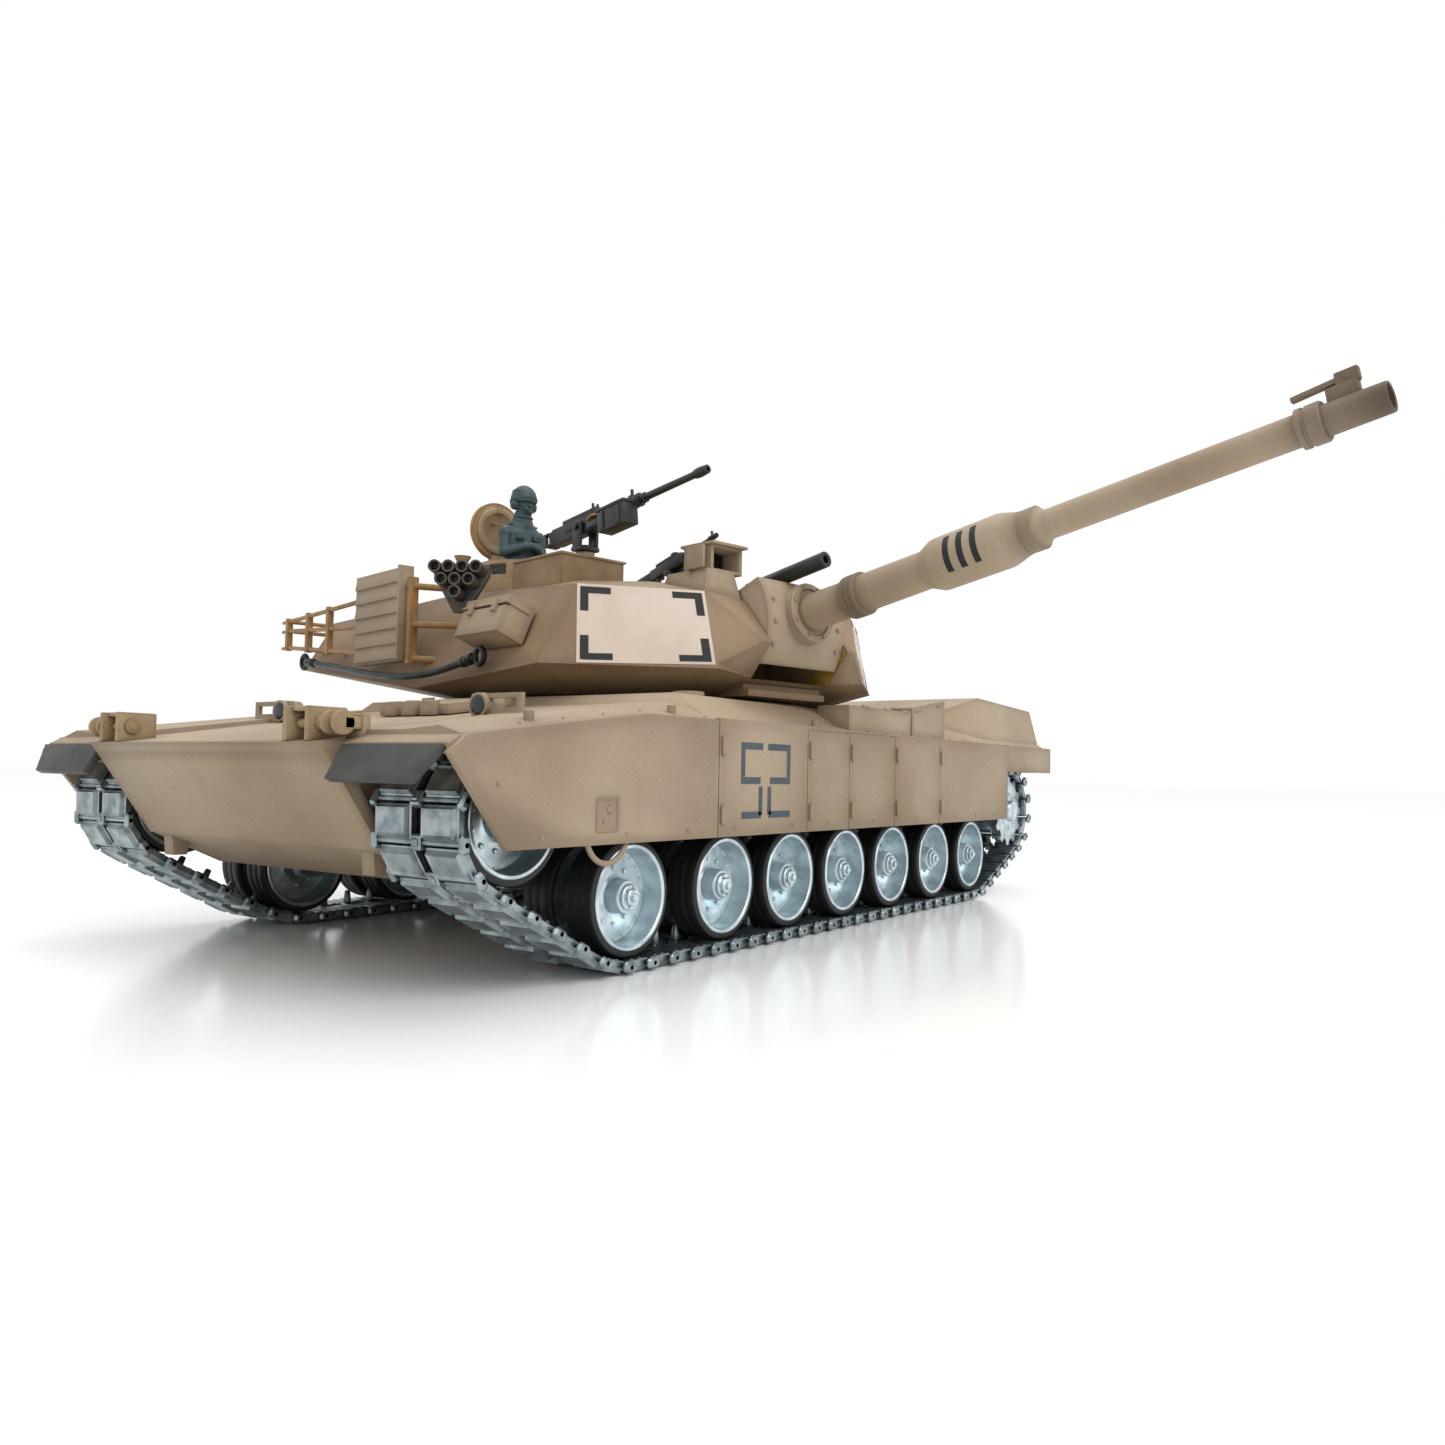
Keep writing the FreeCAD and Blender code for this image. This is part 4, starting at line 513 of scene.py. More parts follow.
def makeCable():
    points = alongLine(routeLine(), 0.9 * mm)
    whole = bmesh.new()
    around = 48
    rings = []
    run = 0.0
    side = Vector((0, 0, 1))
    for i, point in enumerate(points):
        ahead = (points[min(i + 1, len(points) - 1)] - points[max(i - 1, 0)]).normalized()
        across = (side - ahead * side.dot(ahead)).normalized()
        other = ahead.cross(across)
        run += (point - points[i - 1]).length if i else 0.0
        twist = 2 * math.pi * run / (cable["lay"] * mm)
        ring = []
        for k in range(around):
            turn = 2 * math.pi * k / around
            lobe = 1.0 - 0.16 * (1.0 - abs(math.cos(cable["strands"] / 2 * (turn - twist)))) ** 1.4
            reach = cable["radius"] * mm * lobe
            spot = point + across * reach * math.cos(turn) + other * reach * math.sin(turn)
            ring.append(whole.verts.new(spot))
        rings.append(ring)
    for before, after in zip(rings, rings[1:]):
        for k in range(around):
            j = (k + 1) % around
            whole.faces.new((before[k], before[j], after[j], after[k]))
    whole.faces.new(list(reversed(rings[0])))
    whole.faces.new(rings[-1])
    bmesh.ops.recalc_face_normals(whole, faces=whole.faces)
    piece = objectOf(whole, "tow_cable_strands")
    finished(piece, "tow_cable_strands", "steel", "turret", 60.0)
    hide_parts("tow_cable")
    return piece, points


def makeCableEnd(end, inward):
    end, inward = Vector(end), Vector(inward)
    out = (end - inward).normalized()
    socket = rod(end - out * 1.0, end + out * 8.0, 1.95, 2.5, 0.25, 24)
    band = rod(end + out * 0.4, end + out * 2.2, 2.35, 2.35, 0.3, 24)
    centre = end + out * 12.4
    clear()
    bpy.ops.mesh.primitive_torus_add(major_radius=cable["eyeRadius"] * mm, minor_radius=cable["eyeWire"] * mm,
                                     major_segments=40, minor_segments=16, location=centre * mm,
                                     rotation=(math.pi / 2, 0, 0))
    eye = bpy.context.object
    bpy.ops.object.transform_apply(location=True, rotation=True, scale=True)
    neck = rod(end + out * 7.0, end + out * 9.6, 2.3, 1.4, 0.2, 20)
    across = Vector((0, 2.6, 0))
    pin = rod(end + out * 5.0 - across, end + out * 5.0 + across, 0.6, 0.6, 0.15, 12)
    return joined([socket, band, eye, neck, pin])


route = cable["route"]
ends = joined([makeCableEnd(route[0], route[1]), makeCableEnd(route[-1], route[-2])])
placed(ends, turretPlace)
finished(ends, "tow_cable_sockets", "steel", "turret")
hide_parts("tow_cable_eyes")
cablePiece, cablePath = makeCable()


# tracks: one cast link, copied round the loop of pins

track = {
    "centreY": 89.2, "width": 39.7, "pitch": 12.1, "outer": 2.6, "inner": 1.9, "links": 79,
    "wheels": (-147.5, 150.5), "idler": (199.056, 51.5), "sprocket": (-202.0, 47.0), "teeth": 12,
    "tyreRadius": 19.7, "gap": 0.3, "hornHeight": 5.6,
}


def loopPieces():
    bend = math.hypot(track["tyreRadius"] + track["gap"] + track["inner"], track["pitch"] / 2)
    drive = track["pitch"] / (2 * math.sin(math.pi / track["teeth"]))
    low = track["outer"] + bend
    circles = [(track["wheels"][0], low, bend), (track["wheels"][1], low, bend), (*track["idler"], bend),
               (*track["sprocket"], drive)]
    angles = []
    for (x, z, r), (nx, nz, nr) in zip(circles, circles[1:] + circles[:1]):
        angles.append(math.atan2(nz - z, nx - x) - math.acos((r - nr) / math.hypot(nx - x, nz - z)))
    runs = []
    for i, (x, z, r) in enumerate(circles):
        nx, nz, nr = circles[(i + 1) % 4]
        sweep = (angles[i] - angles[i - 1]) % (2 * math.pi)
        runs.append(("arc", (x, z), r, angles[i - 1], r * sweep))
        first = (x + r * math.cos(angles[i]), z + r * math.sin(angles[i]))
        last = (nx + nr * math.cos(angles[i]), nz + nr * math.sin(angles[i]))
        runs.append(("line", first, last, 0.0, math.dist(first, last)))
    return runs


def onLoop(runs, distance):
    distance %= sum(run[4] for run in runs)
    for run in runs:
        if distance <= run[4]:
            break
        distance -= run[4]
    kind, first, second, start, length = run
    if kind == "arc":
        turn = start + distance / second
        return first[0] + second * math.cos(turn), first[1] + second * math.sin(turn)
    share = distance / length
    return tuple(a + (b - a) * share for a, b in zip(first, second))


# pins one chord apart round the loop, from the middle of its last arc
def pinPlaces():
    runs = loopPieces()
    travelled = sum(run[4] for run in runs[:4]) + runs[4][4] / 2
    pins = []
    for _ in range(track["links"]):
        pins.append(onLoop(runs, travelled))
        low, high = track["pitch"] * 0.99, track["pitch"] * 1.2
        for _ in range(30):
            middle = (low + high) / 2
            if math.dist(pins[-1], onLoop(runs, travelled + middle)) < track["pitch"]:
                low = middle
            else:
                high = middle
        travelled += low
    return pins


def makeLink():
    half, reach = track["width"] / 2, track["pitch"] / 2
    parts = []
    for side in (-1, 1):
        inner, outer = side * 2.7, side * (half - 2.7)
        near, far = sorted((inner, outer))
        pad = block((-reach + 0.55, near, -1.0), (reach - 1.3, far, 1.55), 0.35, 1)
        parts.append(pad)
        sole = block((-reach + 0.9, near + 0.4, -2.5), (reach - 1.7, far - 0.4, -0.9))
        pickFaces(sole, lambda f: f.normal.z < -0.9)
        bpy.ops.transform.resize(value=(0.86, 0.93, 1.0),
                                 center_override=(-0.4 * mm, (inner + outer) / 2 * mm, 0))
        bpy.ops.mesh.inset(thickness=0.75 * mm)
        bpy.ops.transform.translate(value=(0, 0, 0.45 * mm))
        leave()
        parts.append(sole)
        for x in (-2.4, 1.6):
            parts.append(block((x - 0.5, near + 1.0, 1.45), (x + 0.5, far - 1.0, 1.85), 0.15, 1))
        y0, y1 = sorted((side * (half - 2.3), side * half))
        lug = block((-reach - 2.8, y0, -1.8), (-reach + 2.8, y1, 1.6), 0.85, 1)
        boss = rod((-reach, side * (half - 0.6), 0), (-reach, side * half, 0), 1.0, 0.8, 0, 10)
        parts += [lug, boss]
    parts.append(rod((-reach, -half + 0.8, 0), (-reach, half - 0.8, 0), 0.8, sides=10))
    parts.append(block((-reach - 2.3, -2.0, -1.6), (-reach + 2.3, 2.0, 1.8), 0.5, 1))
    parts.append(block((-reach - 1.2, -1.2, -2.1), (-reach + 1.2, 1.2, -1.4), 0.35, 1))
    parts.append(rod((-reach, 0, 1.7), (-reach, 0, 1.9 + track["hornHeight"]), 1.7, 1.15, 0.3, 12))
    return joined(parts)


linkPiece = makeLink()
pins = pinPlaces()
linkPlaces = []
for (x0, z0), (x1, z1) in zip(pins, pins[1:] + pins[:1]):
    middle = ((x0 + x1) / 2, track["centreY"], (z0 + z1) / 2)
    linkPlaces.append(shift(middle) @ Matrix.Rotation(-math.atan2(z1 - z0, x1 - x0), 4, "Y"))
leftTrack = repeated(linkPiece, linkPlaces)
rightTrack = copyOf(leftTrack)
placed(rightTrack, Matrix.Scale(-1, 4, (0, 1, 0)))
for side, piece in (("left", leftTrack), ("right", rightTrack)):
    finished(piece, "track_links_" + side, "zincCast", "hull", 25.0)
    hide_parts("track_" + side)
print("tracks made, triangles a side:", sum(len(p.vertices) - 2 for p in leftTrack.data.polygons))


# road wheels, idlers, rollers and sprockets

wheel = {
    "face": 15.5,  # from the track's middle to the outer face
    "width": 12.5, "rim": 17.6, "wall": 1.5, "tyre": 19.7, "web": 8.4, "webThick": 1.8, "hub": 5.6,
    "boltCircle": 9.6, "bolts": 10, "rivetCircle": 14.6, "rivets": 20,
}


def makeDisc():
    w = wheel
    face, inside = w["face"], w["face"] - w["width"]
    front, back = face - w["web"], face - w["web"] - w["webThick"]
    rim, bore = w["rim"], w["rim"] - w["wall"]
    outline = [(inside, rim), (face - 0.25, rim), (face, rim - 0.25), (face, bore + 0.3), (face - 0.3, bore),
               (front + 1.2, bore - 0.5), (front + 0.3, bore - 0.9), (front, bore - 1.8),
               (front + 0.25, 12.6), (front + 0.25, 7.6), (front + 0.7, 6.6), (front + 1.2, 6.0),
               (face - 2.4, 5.7), (face - 1.8, 5.4), (face - 1.6, 4.5), (face - 0.5, 4.4),
               (face - 0.2, 4.1), (face - 0.2, 3.0), (face + 0.7, 2.9), (face + 1.0, 2.6),
               (face + 1.0, 1.5), (face + 1.9, 1.4), (face + 2.1, 1.1), (face + 2.1, 0.0)]
    disc = lathe(outline + [(back, 0.0), (back, bore), (inside, bore), (inside, rim)], "Y", 56)
    bolt = rod((0, -0.2, 0), (0, 0.75, 0), 0.95, 0.85, 0.18, 6)
    ring = [Matrix.Rotation(2 * math.pi * (i + 0.5) / w["bolts"], 4, "Y")
            @ shift((w["boltCircle"], front + 0.25, 0)) for i in range(w["bolts"])]
    repeated(bolt, ring)
    rivet = rod((0, -0.1, 0), (0, 0.3, 0), 0.42, 0.28, 0, 8)
    ring = [Matrix.Rotation(2 * math.pi * i / w["rivets"], 4, "Y") @ shift((w["rivetCircle"], front + 0.1, 0))
            for i in range(w["rivets"])]
    repeated(rivet, ring)
    cap = rod((0, -0.3, 0), (0, 0.5, 0), 0.5, 0.42, 0.1, 6)
    ring = [Matrix.Rotation(2 * math.pi * i / 6, 4, "Y") @ shift((3.55, face - 0.2, 0)) for i in range(6)]
    repeated(cap, ring)
    return joined([disc, bolt, rivet, cap])


def makeTyre():
    w = wheel
    face, inside = w["face"] - 0.3, w["face"] - w["width"]
    outline = [(inside, w["rim"] + 0.05), (inside, w["tyre"] - 0.9), (inside + 0.35, w["tyre"] - 0.25),
               (inside + 1.0, w["tyre"])]
    for groove in (0.36, 0.64):
        middle = inside + (face - inside) * groove
        outline += [(middle - 0.45, w["tyre"]), (middle - 0.25, w["tyre"] - 0.12),
                    (middle + 0.25, w["tyre"] - 0.12), (middle + 0.45, w["tyre"])]
    outline += [(face - 1.0, w["tyre"]), (face - 0.35, w["tyre"] - 0.25), (face, w["tyre"] - 0.9),
                (face, w["rim"] + 0.05), (inside, w["rim"] + 0.05)]
    return lathe(outline, "Y", 64)


flipY = Matrix.Scale(-1, 4, (0, 1, 0))
hubBar = lathe([(-wheel["face"] + 9.0, 0.0), (-wheel["face"] + 9.0, wheel["hub"]), (-4.0, wheel["hub"]),
                (-3.4, 7.2), (3.4, 7.2), (4.0, wheel["hub"]), (wheel["face"] - 9.0, wheel["hub"]),
                (wheel["face"] - 9.0, 0.0)], "Y", 40)
twinDisc = joined([repeated(makeDisc(), [Matrix.Identity(4), flipY]), hubBar])
twinTyre = repeated(makeTyre(), [Matrix.Identity(4), flipY])
wheelNodes = [name for name in nodes if name.startswith(("road_wheel_", "idler_"))]
for number, name in enumerate(sorted(wheelNodes)):
    low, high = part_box(name)
    middle = ((low[0] + high[0]) / 2, math.copysign(track["centreY"] * mm, low[1] + high[1]),
              (low[2] + high[2]) / 2)
    outward = Matrix.Identity(4) if low[1] > 0 else flipY
    spun = Matrix.Translation(middle) @ outward @ Matrix.Rotation(math.radians(37.0 * number), 4, "Y")
    disc = placed(copyOf(twinDisc), spun)
    tyre = placed(copyOf(twinTyre), spun)
    finished(disc, name + "_disc", "zincWheel", name)
    finished(tyre, name + "_tyres", "rubber", name)
    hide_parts(name)
bpy.data.objects.remove(twinDisc)
bpy.data.objects.remove(twinTyre)
for name in [n for n in nodes if n.startswith(("sprocket_", "return_roller_"))]:
    refined(name, 0.25, "zincWheel" if name.startswith("sprocket") else "rubber", name, steps=1)
print("wheels made", len(wheelNodes))


# hull: mouldings with rounded edges, then the fittings on them

mouldings = {
    "upper_hull": (0.45, "sand", "hull"),
    "lower_hull": (0.4, "sand", "hull"),
    "side_skirt_left": (0.22, "sand", "hull"),
    "side_skirt_right": (0.22, "sand", "hull"),
    "front_mudflaps": (0.3, "flap", "hull"),
    "rear_grille": (0.2, "sand", "hull"),
    "driver_hatch": (0.5, "sand", "driver_hatch"),
    "turret_shell": (0.5, "shell", "turret"),
    "turret_base": (0.3, "sand", "turret"),
    "roof_fittings": (0.3, "tan", "turret"),
    "stowage_boxes": (0.3, "sand", "turret"),
    "bustle_racks": (0.25, "ochre", "turret"),
    "smoke_launchers": (0.25, "launcher", "turret"),
    "sight_housing": (0.3, "sand", "turret"),
    "commander_cupola": (0.35, "tan", "turret"),
    "commander_hatch": (0.35, "tan", "commander_hatch"),
    "loader_hatch": (0.3, "tan", "loader_hatch"),
    "gun_mantlet": (0.4, "sand", "gun"),
    "mantlet_gun": (0.25, "blackPlastic", "gun"),
}
for name, (edge, finish, body) in mouldings.items():
    refined(name, edge, finish, body)
print("mouldings refined")

# pieces inside or beneath the hull and inside the turret keep their CAD shape
inside = {
    "battery_cover": "tan", "battery_pack": "battery", "control_board": "board", "speaker": "motor",
    "drive_gearboxes": "motor", "traverse_motor": "motor", "elevation_motor": "motor",
    "swing_arms_left": "zincCast", "swing_arms_right": "zincCast",
}
for name, finish in inside.items():
    nodes[name].data.materials.clear()
    nodes[name].data.materials.append(finishes[finish])
    for face in nodes[name].data.polygons:
        face.material_index = 0


# gun tube, turned from one profile

gun = {
    "profile": [(22.0, 0.0), (22.0, 7.0), (33.0, 7.0), (33.0, 7.9), (54.6, 7.65), (55.2, 8.2), (55.6, 8.9),
                (56.4, 9.0), (57.6, 9.0), (57.9, 8.6), (58.4, 8.6), (58.7, 9.0), (60.2, 9.0), (60.5, 8.6),
                (61.0, 8.6), (61.3, 9.0), (62.6, 9.0), (63.0, 8.4), (63.2, 7.7), (93.4, 7.5), (94.4, 7.6),
                (100.0, 10.05), (101.4, 10.2), (128.6, 10.2), (130.2, 10.0), (136.4, 8.2), (137.4, 8.0),
                (138.0, 8.0), (138.3, 7.7), (138.9, 7.7), (139.2, 8.0), (143.6, 8.0), (144.0, 7.4),
                (144.2, 7.0), (146.6, 5.5), (147.2, 5.4), (190.0, 5.25), (230.6, 5.1), (231.0, 5.4),
                (231.4, 6.3), (233.0, 6.3), (233.3, 5.9), (234.0, 5.9), (234.3, 6.3), (238.0, 6.3),
                (238.5, 5.9), (238.6, 4.9), (255.4, 4.7), (256.0, 4.5), (256.0, 3.95), (255.7, 3.7),
                (196.0, 3.7), (196.0, 0.0)],
    "thick": 10.2,
    "muzzle": 256.0,
    "bands": (109.5, 115.5, 121.5),
    "bandWidth": 2.6,
    "bandRise": 0.06,
}
gunFrame = gunPlace @ shift(stance["trunnion"])
tube = lathe(gun["profile"], "X", 72)
muzzle = gun["muzzle"]
foot = block((muzzle - 16.0, -1.6, 4.3), (muzzle - 7.0, 1.6, 8.8), 0.4)
head = block((muzzle - 13.0, -1.4, 8.2), (muzzle - 6.4, 1.4, 12.5), 0.5)
spar = block((muzzle - 25.6, -1.2, 9.4), (muzzle - 11.0, 1.2, 11.2), 0.4)
turned(spar, -3.0, "Y", (muzzle - 12.0, 0, 10.4))
drop = rod((muzzle - 9.6, -1.6, 10.6), (muzzle - 9.6, 1.6, 10.6), 1.2, edge=0.2)
strap = rod((muzzle - 15.6, 0, 4.6), (muzzle - 12.4, 0, 4.6), 1.5, edge=0.3)
gunPiece = placed(joined([tube, foot, head, spar, drop, strap]), gunFrame)
finished(gunPiece, "gun_tube", "gun", "gun", 35.0)
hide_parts("gun_barrel")


def bandPatch(x, start, stop):
    high = gun["thick"] + gun["bandRise"]
    whole = bmesh.new()
    rows = []
    for i in range(25):
        turn = math.radians(start + (stop - start) * i / 24)
        row = [whole.verts.new(Vector((x + a, math.sin(turn) * high, math.cos(turn) * high)) * mm)
               for a in (-gun["bandWidth"] / 2, gun["bandWidth"] / 2)]
        rows.append(row)
    for before, after in zip(rows, rows[1:]):
        whole.faces.new((before[0], before[1], after[1], after[0]))
    piece = objectOf(whole, "band")
    thickened(piece, 0.12, -1.0)
    editAll(piece)
    bpy.ops.mesh.normals_make_consistent(inside=False)
    leave()
    return piece


bandSets = [bandPatch(x, start, start + 84.0) for x in gun["bands"] for start in (48.0, 228.0)]
bands = placed(joined(bandSets), gunFrame)
finished(bands, "barrel_bands", "ink", "gun")
print("gun made")


# the white panels on both cheeks, laid on the armour, with a black bracket in each corner

panel = {
    "outer": 88.2, "inner": 45.8, "thick": 0.25,
    "topOuter": (57.4, 141.0), "topInner": (88.0, 140.0), "lowOuter": (64.0, 108.9),
    "lowInner": (95.6, 109.4),
    "arm": 0.235, "rise": 0.31, "bar": 0.062, "barHigh": 0.085, "insetSide": 0.025, "insetTop": 0.035,
}


def shellSurface():
    mesh = nodes["turret_shell"].data
    return BVHTree.FromPolygons([v.co for v in mesh.vertices], [p.vertices for p in mesh.polygons])


def laidOn(surface, corners, side, lift, thick, steps):
    # corners in the turret's frame: share across and share up the panel; the sheet follows the armour
    whole = bmesh.new()
    grid = []
    normal = (turretPlace.to_3x3() @ Vector((0.8, side * 0.55, 0.25))).normalized()
    for j in range(steps[1] + 1):
        row = []
        for i in range(steps[0] + 1):
            a = corners[0] + (corners[2] - corners[0]) * i / steps[0]
            b = corners[1] + (corners[3] - corners[1]) * j / steps[1]
            low = Vector((panel["lowOuter"][0], side * (panel["outer"] + 2.8), panel["lowOuter"][1])).lerp(
                Vector((panel["lowInner"][0], side * panel["inner"], panel["lowInner"][1])), a)
            top = Vector((panel["topOuter"][0], side * (panel["outer"] - 1.4), panel["topOuter"][1])).lerp(
                Vector((panel["topInner"][0], side * panel["inner"], panel["topInner"][1])), a)
            aim = turretPlace @ (low.lerp(top, b) * mm)
            hit, facing, _, _ = surface.ray_cast(aim + normal * 0.02, -normal, 0.06)
            row.append(whole.verts.new((hit if hit else aim) + normal * lift * mm))
        grid.append(row)
    for j in range(steps[1]):
        for i in range(steps[0]):
            whole.faces.new((grid[j][i], grid[j][i + 1], grid[j + 1][i + 1], grid[j + 1][i]))
    bmesh.ops.recalc_face_normals(whole, faces=whole.faces)
    if sum((f.normal for f in whole.faces), Vector()).dot(normal) < 0:
        bmesh.ops.reverse_faces(whole, faces=whole.faces)
    piece = objectOf(whole, "sheet")
    thickened(piece, thick, -1.0)
    return piece


def makePanels():
    surface = shellSurface()
    p = panel
    lift = p["thick"] + 0.12
    for side, word in ((-1, "right"), (1, "left")):
        sheet = laidOn(surface, (0, 0, 1, 1), side, p["thick"], p["thick"] + 0.3, (14, 10))
        finished(sheet, "white_panel_" + word, "panel", "turret", 20.0)
        bars = []
        for a0, a1 in ((p["insetSide"], 1), (1 - p["insetSide"], -1)):
            for b0, b1 in ((p["insetTop"], 1), (1 - p["insetTop"], -1)):
                across = sorted((a0, a0 + a1 * p["arm"]))
                thin = sorted((b0, b0 + b1 * p["barHigh"]))
                corners = (across[0], thin[0], across[1], thin[1])
                bars.append(laidOn(surface, corners, side, lift, 0.3, (6, 2)))
                upright = sorted((b0 + b1 * p["barHigh"], b0 + b1 * p["rise"]))
                narrow = sorted((a0, a0 + a1 * p["bar"]))
                corners = (narrow[0], upright[0], narrow[1], upright[1])
                bars.append(laidOn(surface, corners, side, lift, 0.3, (2, 4)))
        finished(joined(bars), "panel_brackets_" + word, "ink", "turret", 20.0)


makePanels()
print("panels laid")


# skirt: stencilled number, hinge pins, bolts

skirt = {
    "face": 114.2,
    "digits": {"5": [("x", 1.0, 0.0, 1.0), ("z", 0.0, 0.55, 0.91), ("x", 0.5, 0.0, 0.9),
                     ("z", 1.0, 0.04, 0.42), ("x", 0.0, 0.05, 0.95)],
               "2": [("x", 1.0, 0.0, 1.0), ("z", 1.0, 0.55, 0.91), ("x", 0.5, 0.1, 1.0),
                     ("z", 0.0, 0.04, 0.42), ("x", 0.0, 0.05, 1.0)]},
    "places": {"5": (96.6, 82.2), "2": (78.6, 62.6)},
    "low": 49.6, "high": 77.6, "stroke": 2.5, "rise": 0.1,
    "seams": (110.5, 49.2, 14.5, -29.1, -78.5), "foot": 43.4, "top": 85.0,
}


def makeStencil(side, word):
    bars = []
    s = skirt
    half = s["stroke"] / 2
    for digit, (front, rear) in s["places"].items():
        if side < 0:
            front, rear = s["places"]["2" if digit == "5" else "5"][::-1]
        for way, at, start, stop in s["digits"][digit]:
            if way == "x":
                z = s["low"] + half + at * (s["high"] - s["low"] - 2 * half)
                x0, x1 = front + (rear - front) * start, front + (rear - front) * stop
                corners = (x0, z - half, x1, z + half)
            else:
                inset = math.copysign(half, rear - front)
                x = front + inset + at * (rear - front - 2 * inset)
                z0 = s["low"] + start * (s["high"] - s["low"])
                z1 = s["low"] + stop * (s["high"] - s["low"])
                corners = (x - half, z0, x + half, z1)
            y0, y1 = sorted((side * (s["face"] - 0.2), side * (s["face"] + s["rise"])))
            x0, x1 = sorted((corners[0], corners[2]))
            bars.append(block((x0, y0, corners[1]), (x1, y1, corners[3])))
    finished(joined(bars), "stencilled_number_" + word, "stencil", "hull", 20.0)


def makeSkirtFittings(side, word):
    parts = []
    s = skirt
    for seam in s["seams"]:
        for z in (s["foot"] + 4.6, s["top"] - 12.4):
            for step in (0, 1, 2):
                x, y, low = seam - 2.1, s["face"] + 0.3, z + step * 2.3
                parts.append(rod((x, y, low), (x, y, low + 2.0), 0.8, edge=0.15, sides=12))
    for x in (215.0, 198.0, 160.0, 128.0, 100.0, 60.0, 32.0, -8.0, -54.0, -100.0, -126.0, -152.0):
        z = s["foot"] + 3.0 if x < 200 else 62.0
        parts.append(rod((x, s["face"] - 0.2, z), (x, s["face"] + 0.5, z), 0.8, 0.6, 0.12, 6))
    frameOfStep = block((164.1, s["face"] - 0.3, 47.3), (174.6, s["face"] + 0.35, 58.0), 0.2)
    pickFaces(frameOfStep, lambda f: f.normal.y > 0.99 and f.calc_area() > 5e-5)
    bpy.ops.mesh.inset(thickness=0.9 * mm)
    bpy.ops.transform.translate(value=(0, -1.1 * mm, 0))
    leave()
    parts.append(frameOfStep)
    parts.append(rod((168.2, s["face"] - 1.2, 54.2), (168.2, s["face"] + 0.2, 54.2), 1.5, 1.2, 0.2, 20))
    parts.append(rod((170.6, s["face"] - 1.2, 50.8), (170.6, s["face"] + 0.1, 50.8), 0.9, 0.7, 0.15, 16))
    piece = joined(parts)
    if side < 0:
        placed(piece, flipY)
    finished(piece, "skirt_fittings_" + word, "sand", "hull")


for side, word in ((1, "left"), (-1, "right")):
    makeStencil(side, word)
    makeSkirtFittings(side, word)
print("skirts dressed")


# heavy machine gun on its fork, in front of the commander's ring; the gun's places are mm from its pivot

heavy = {"boxTop": 161.5, "bore": 1.6}


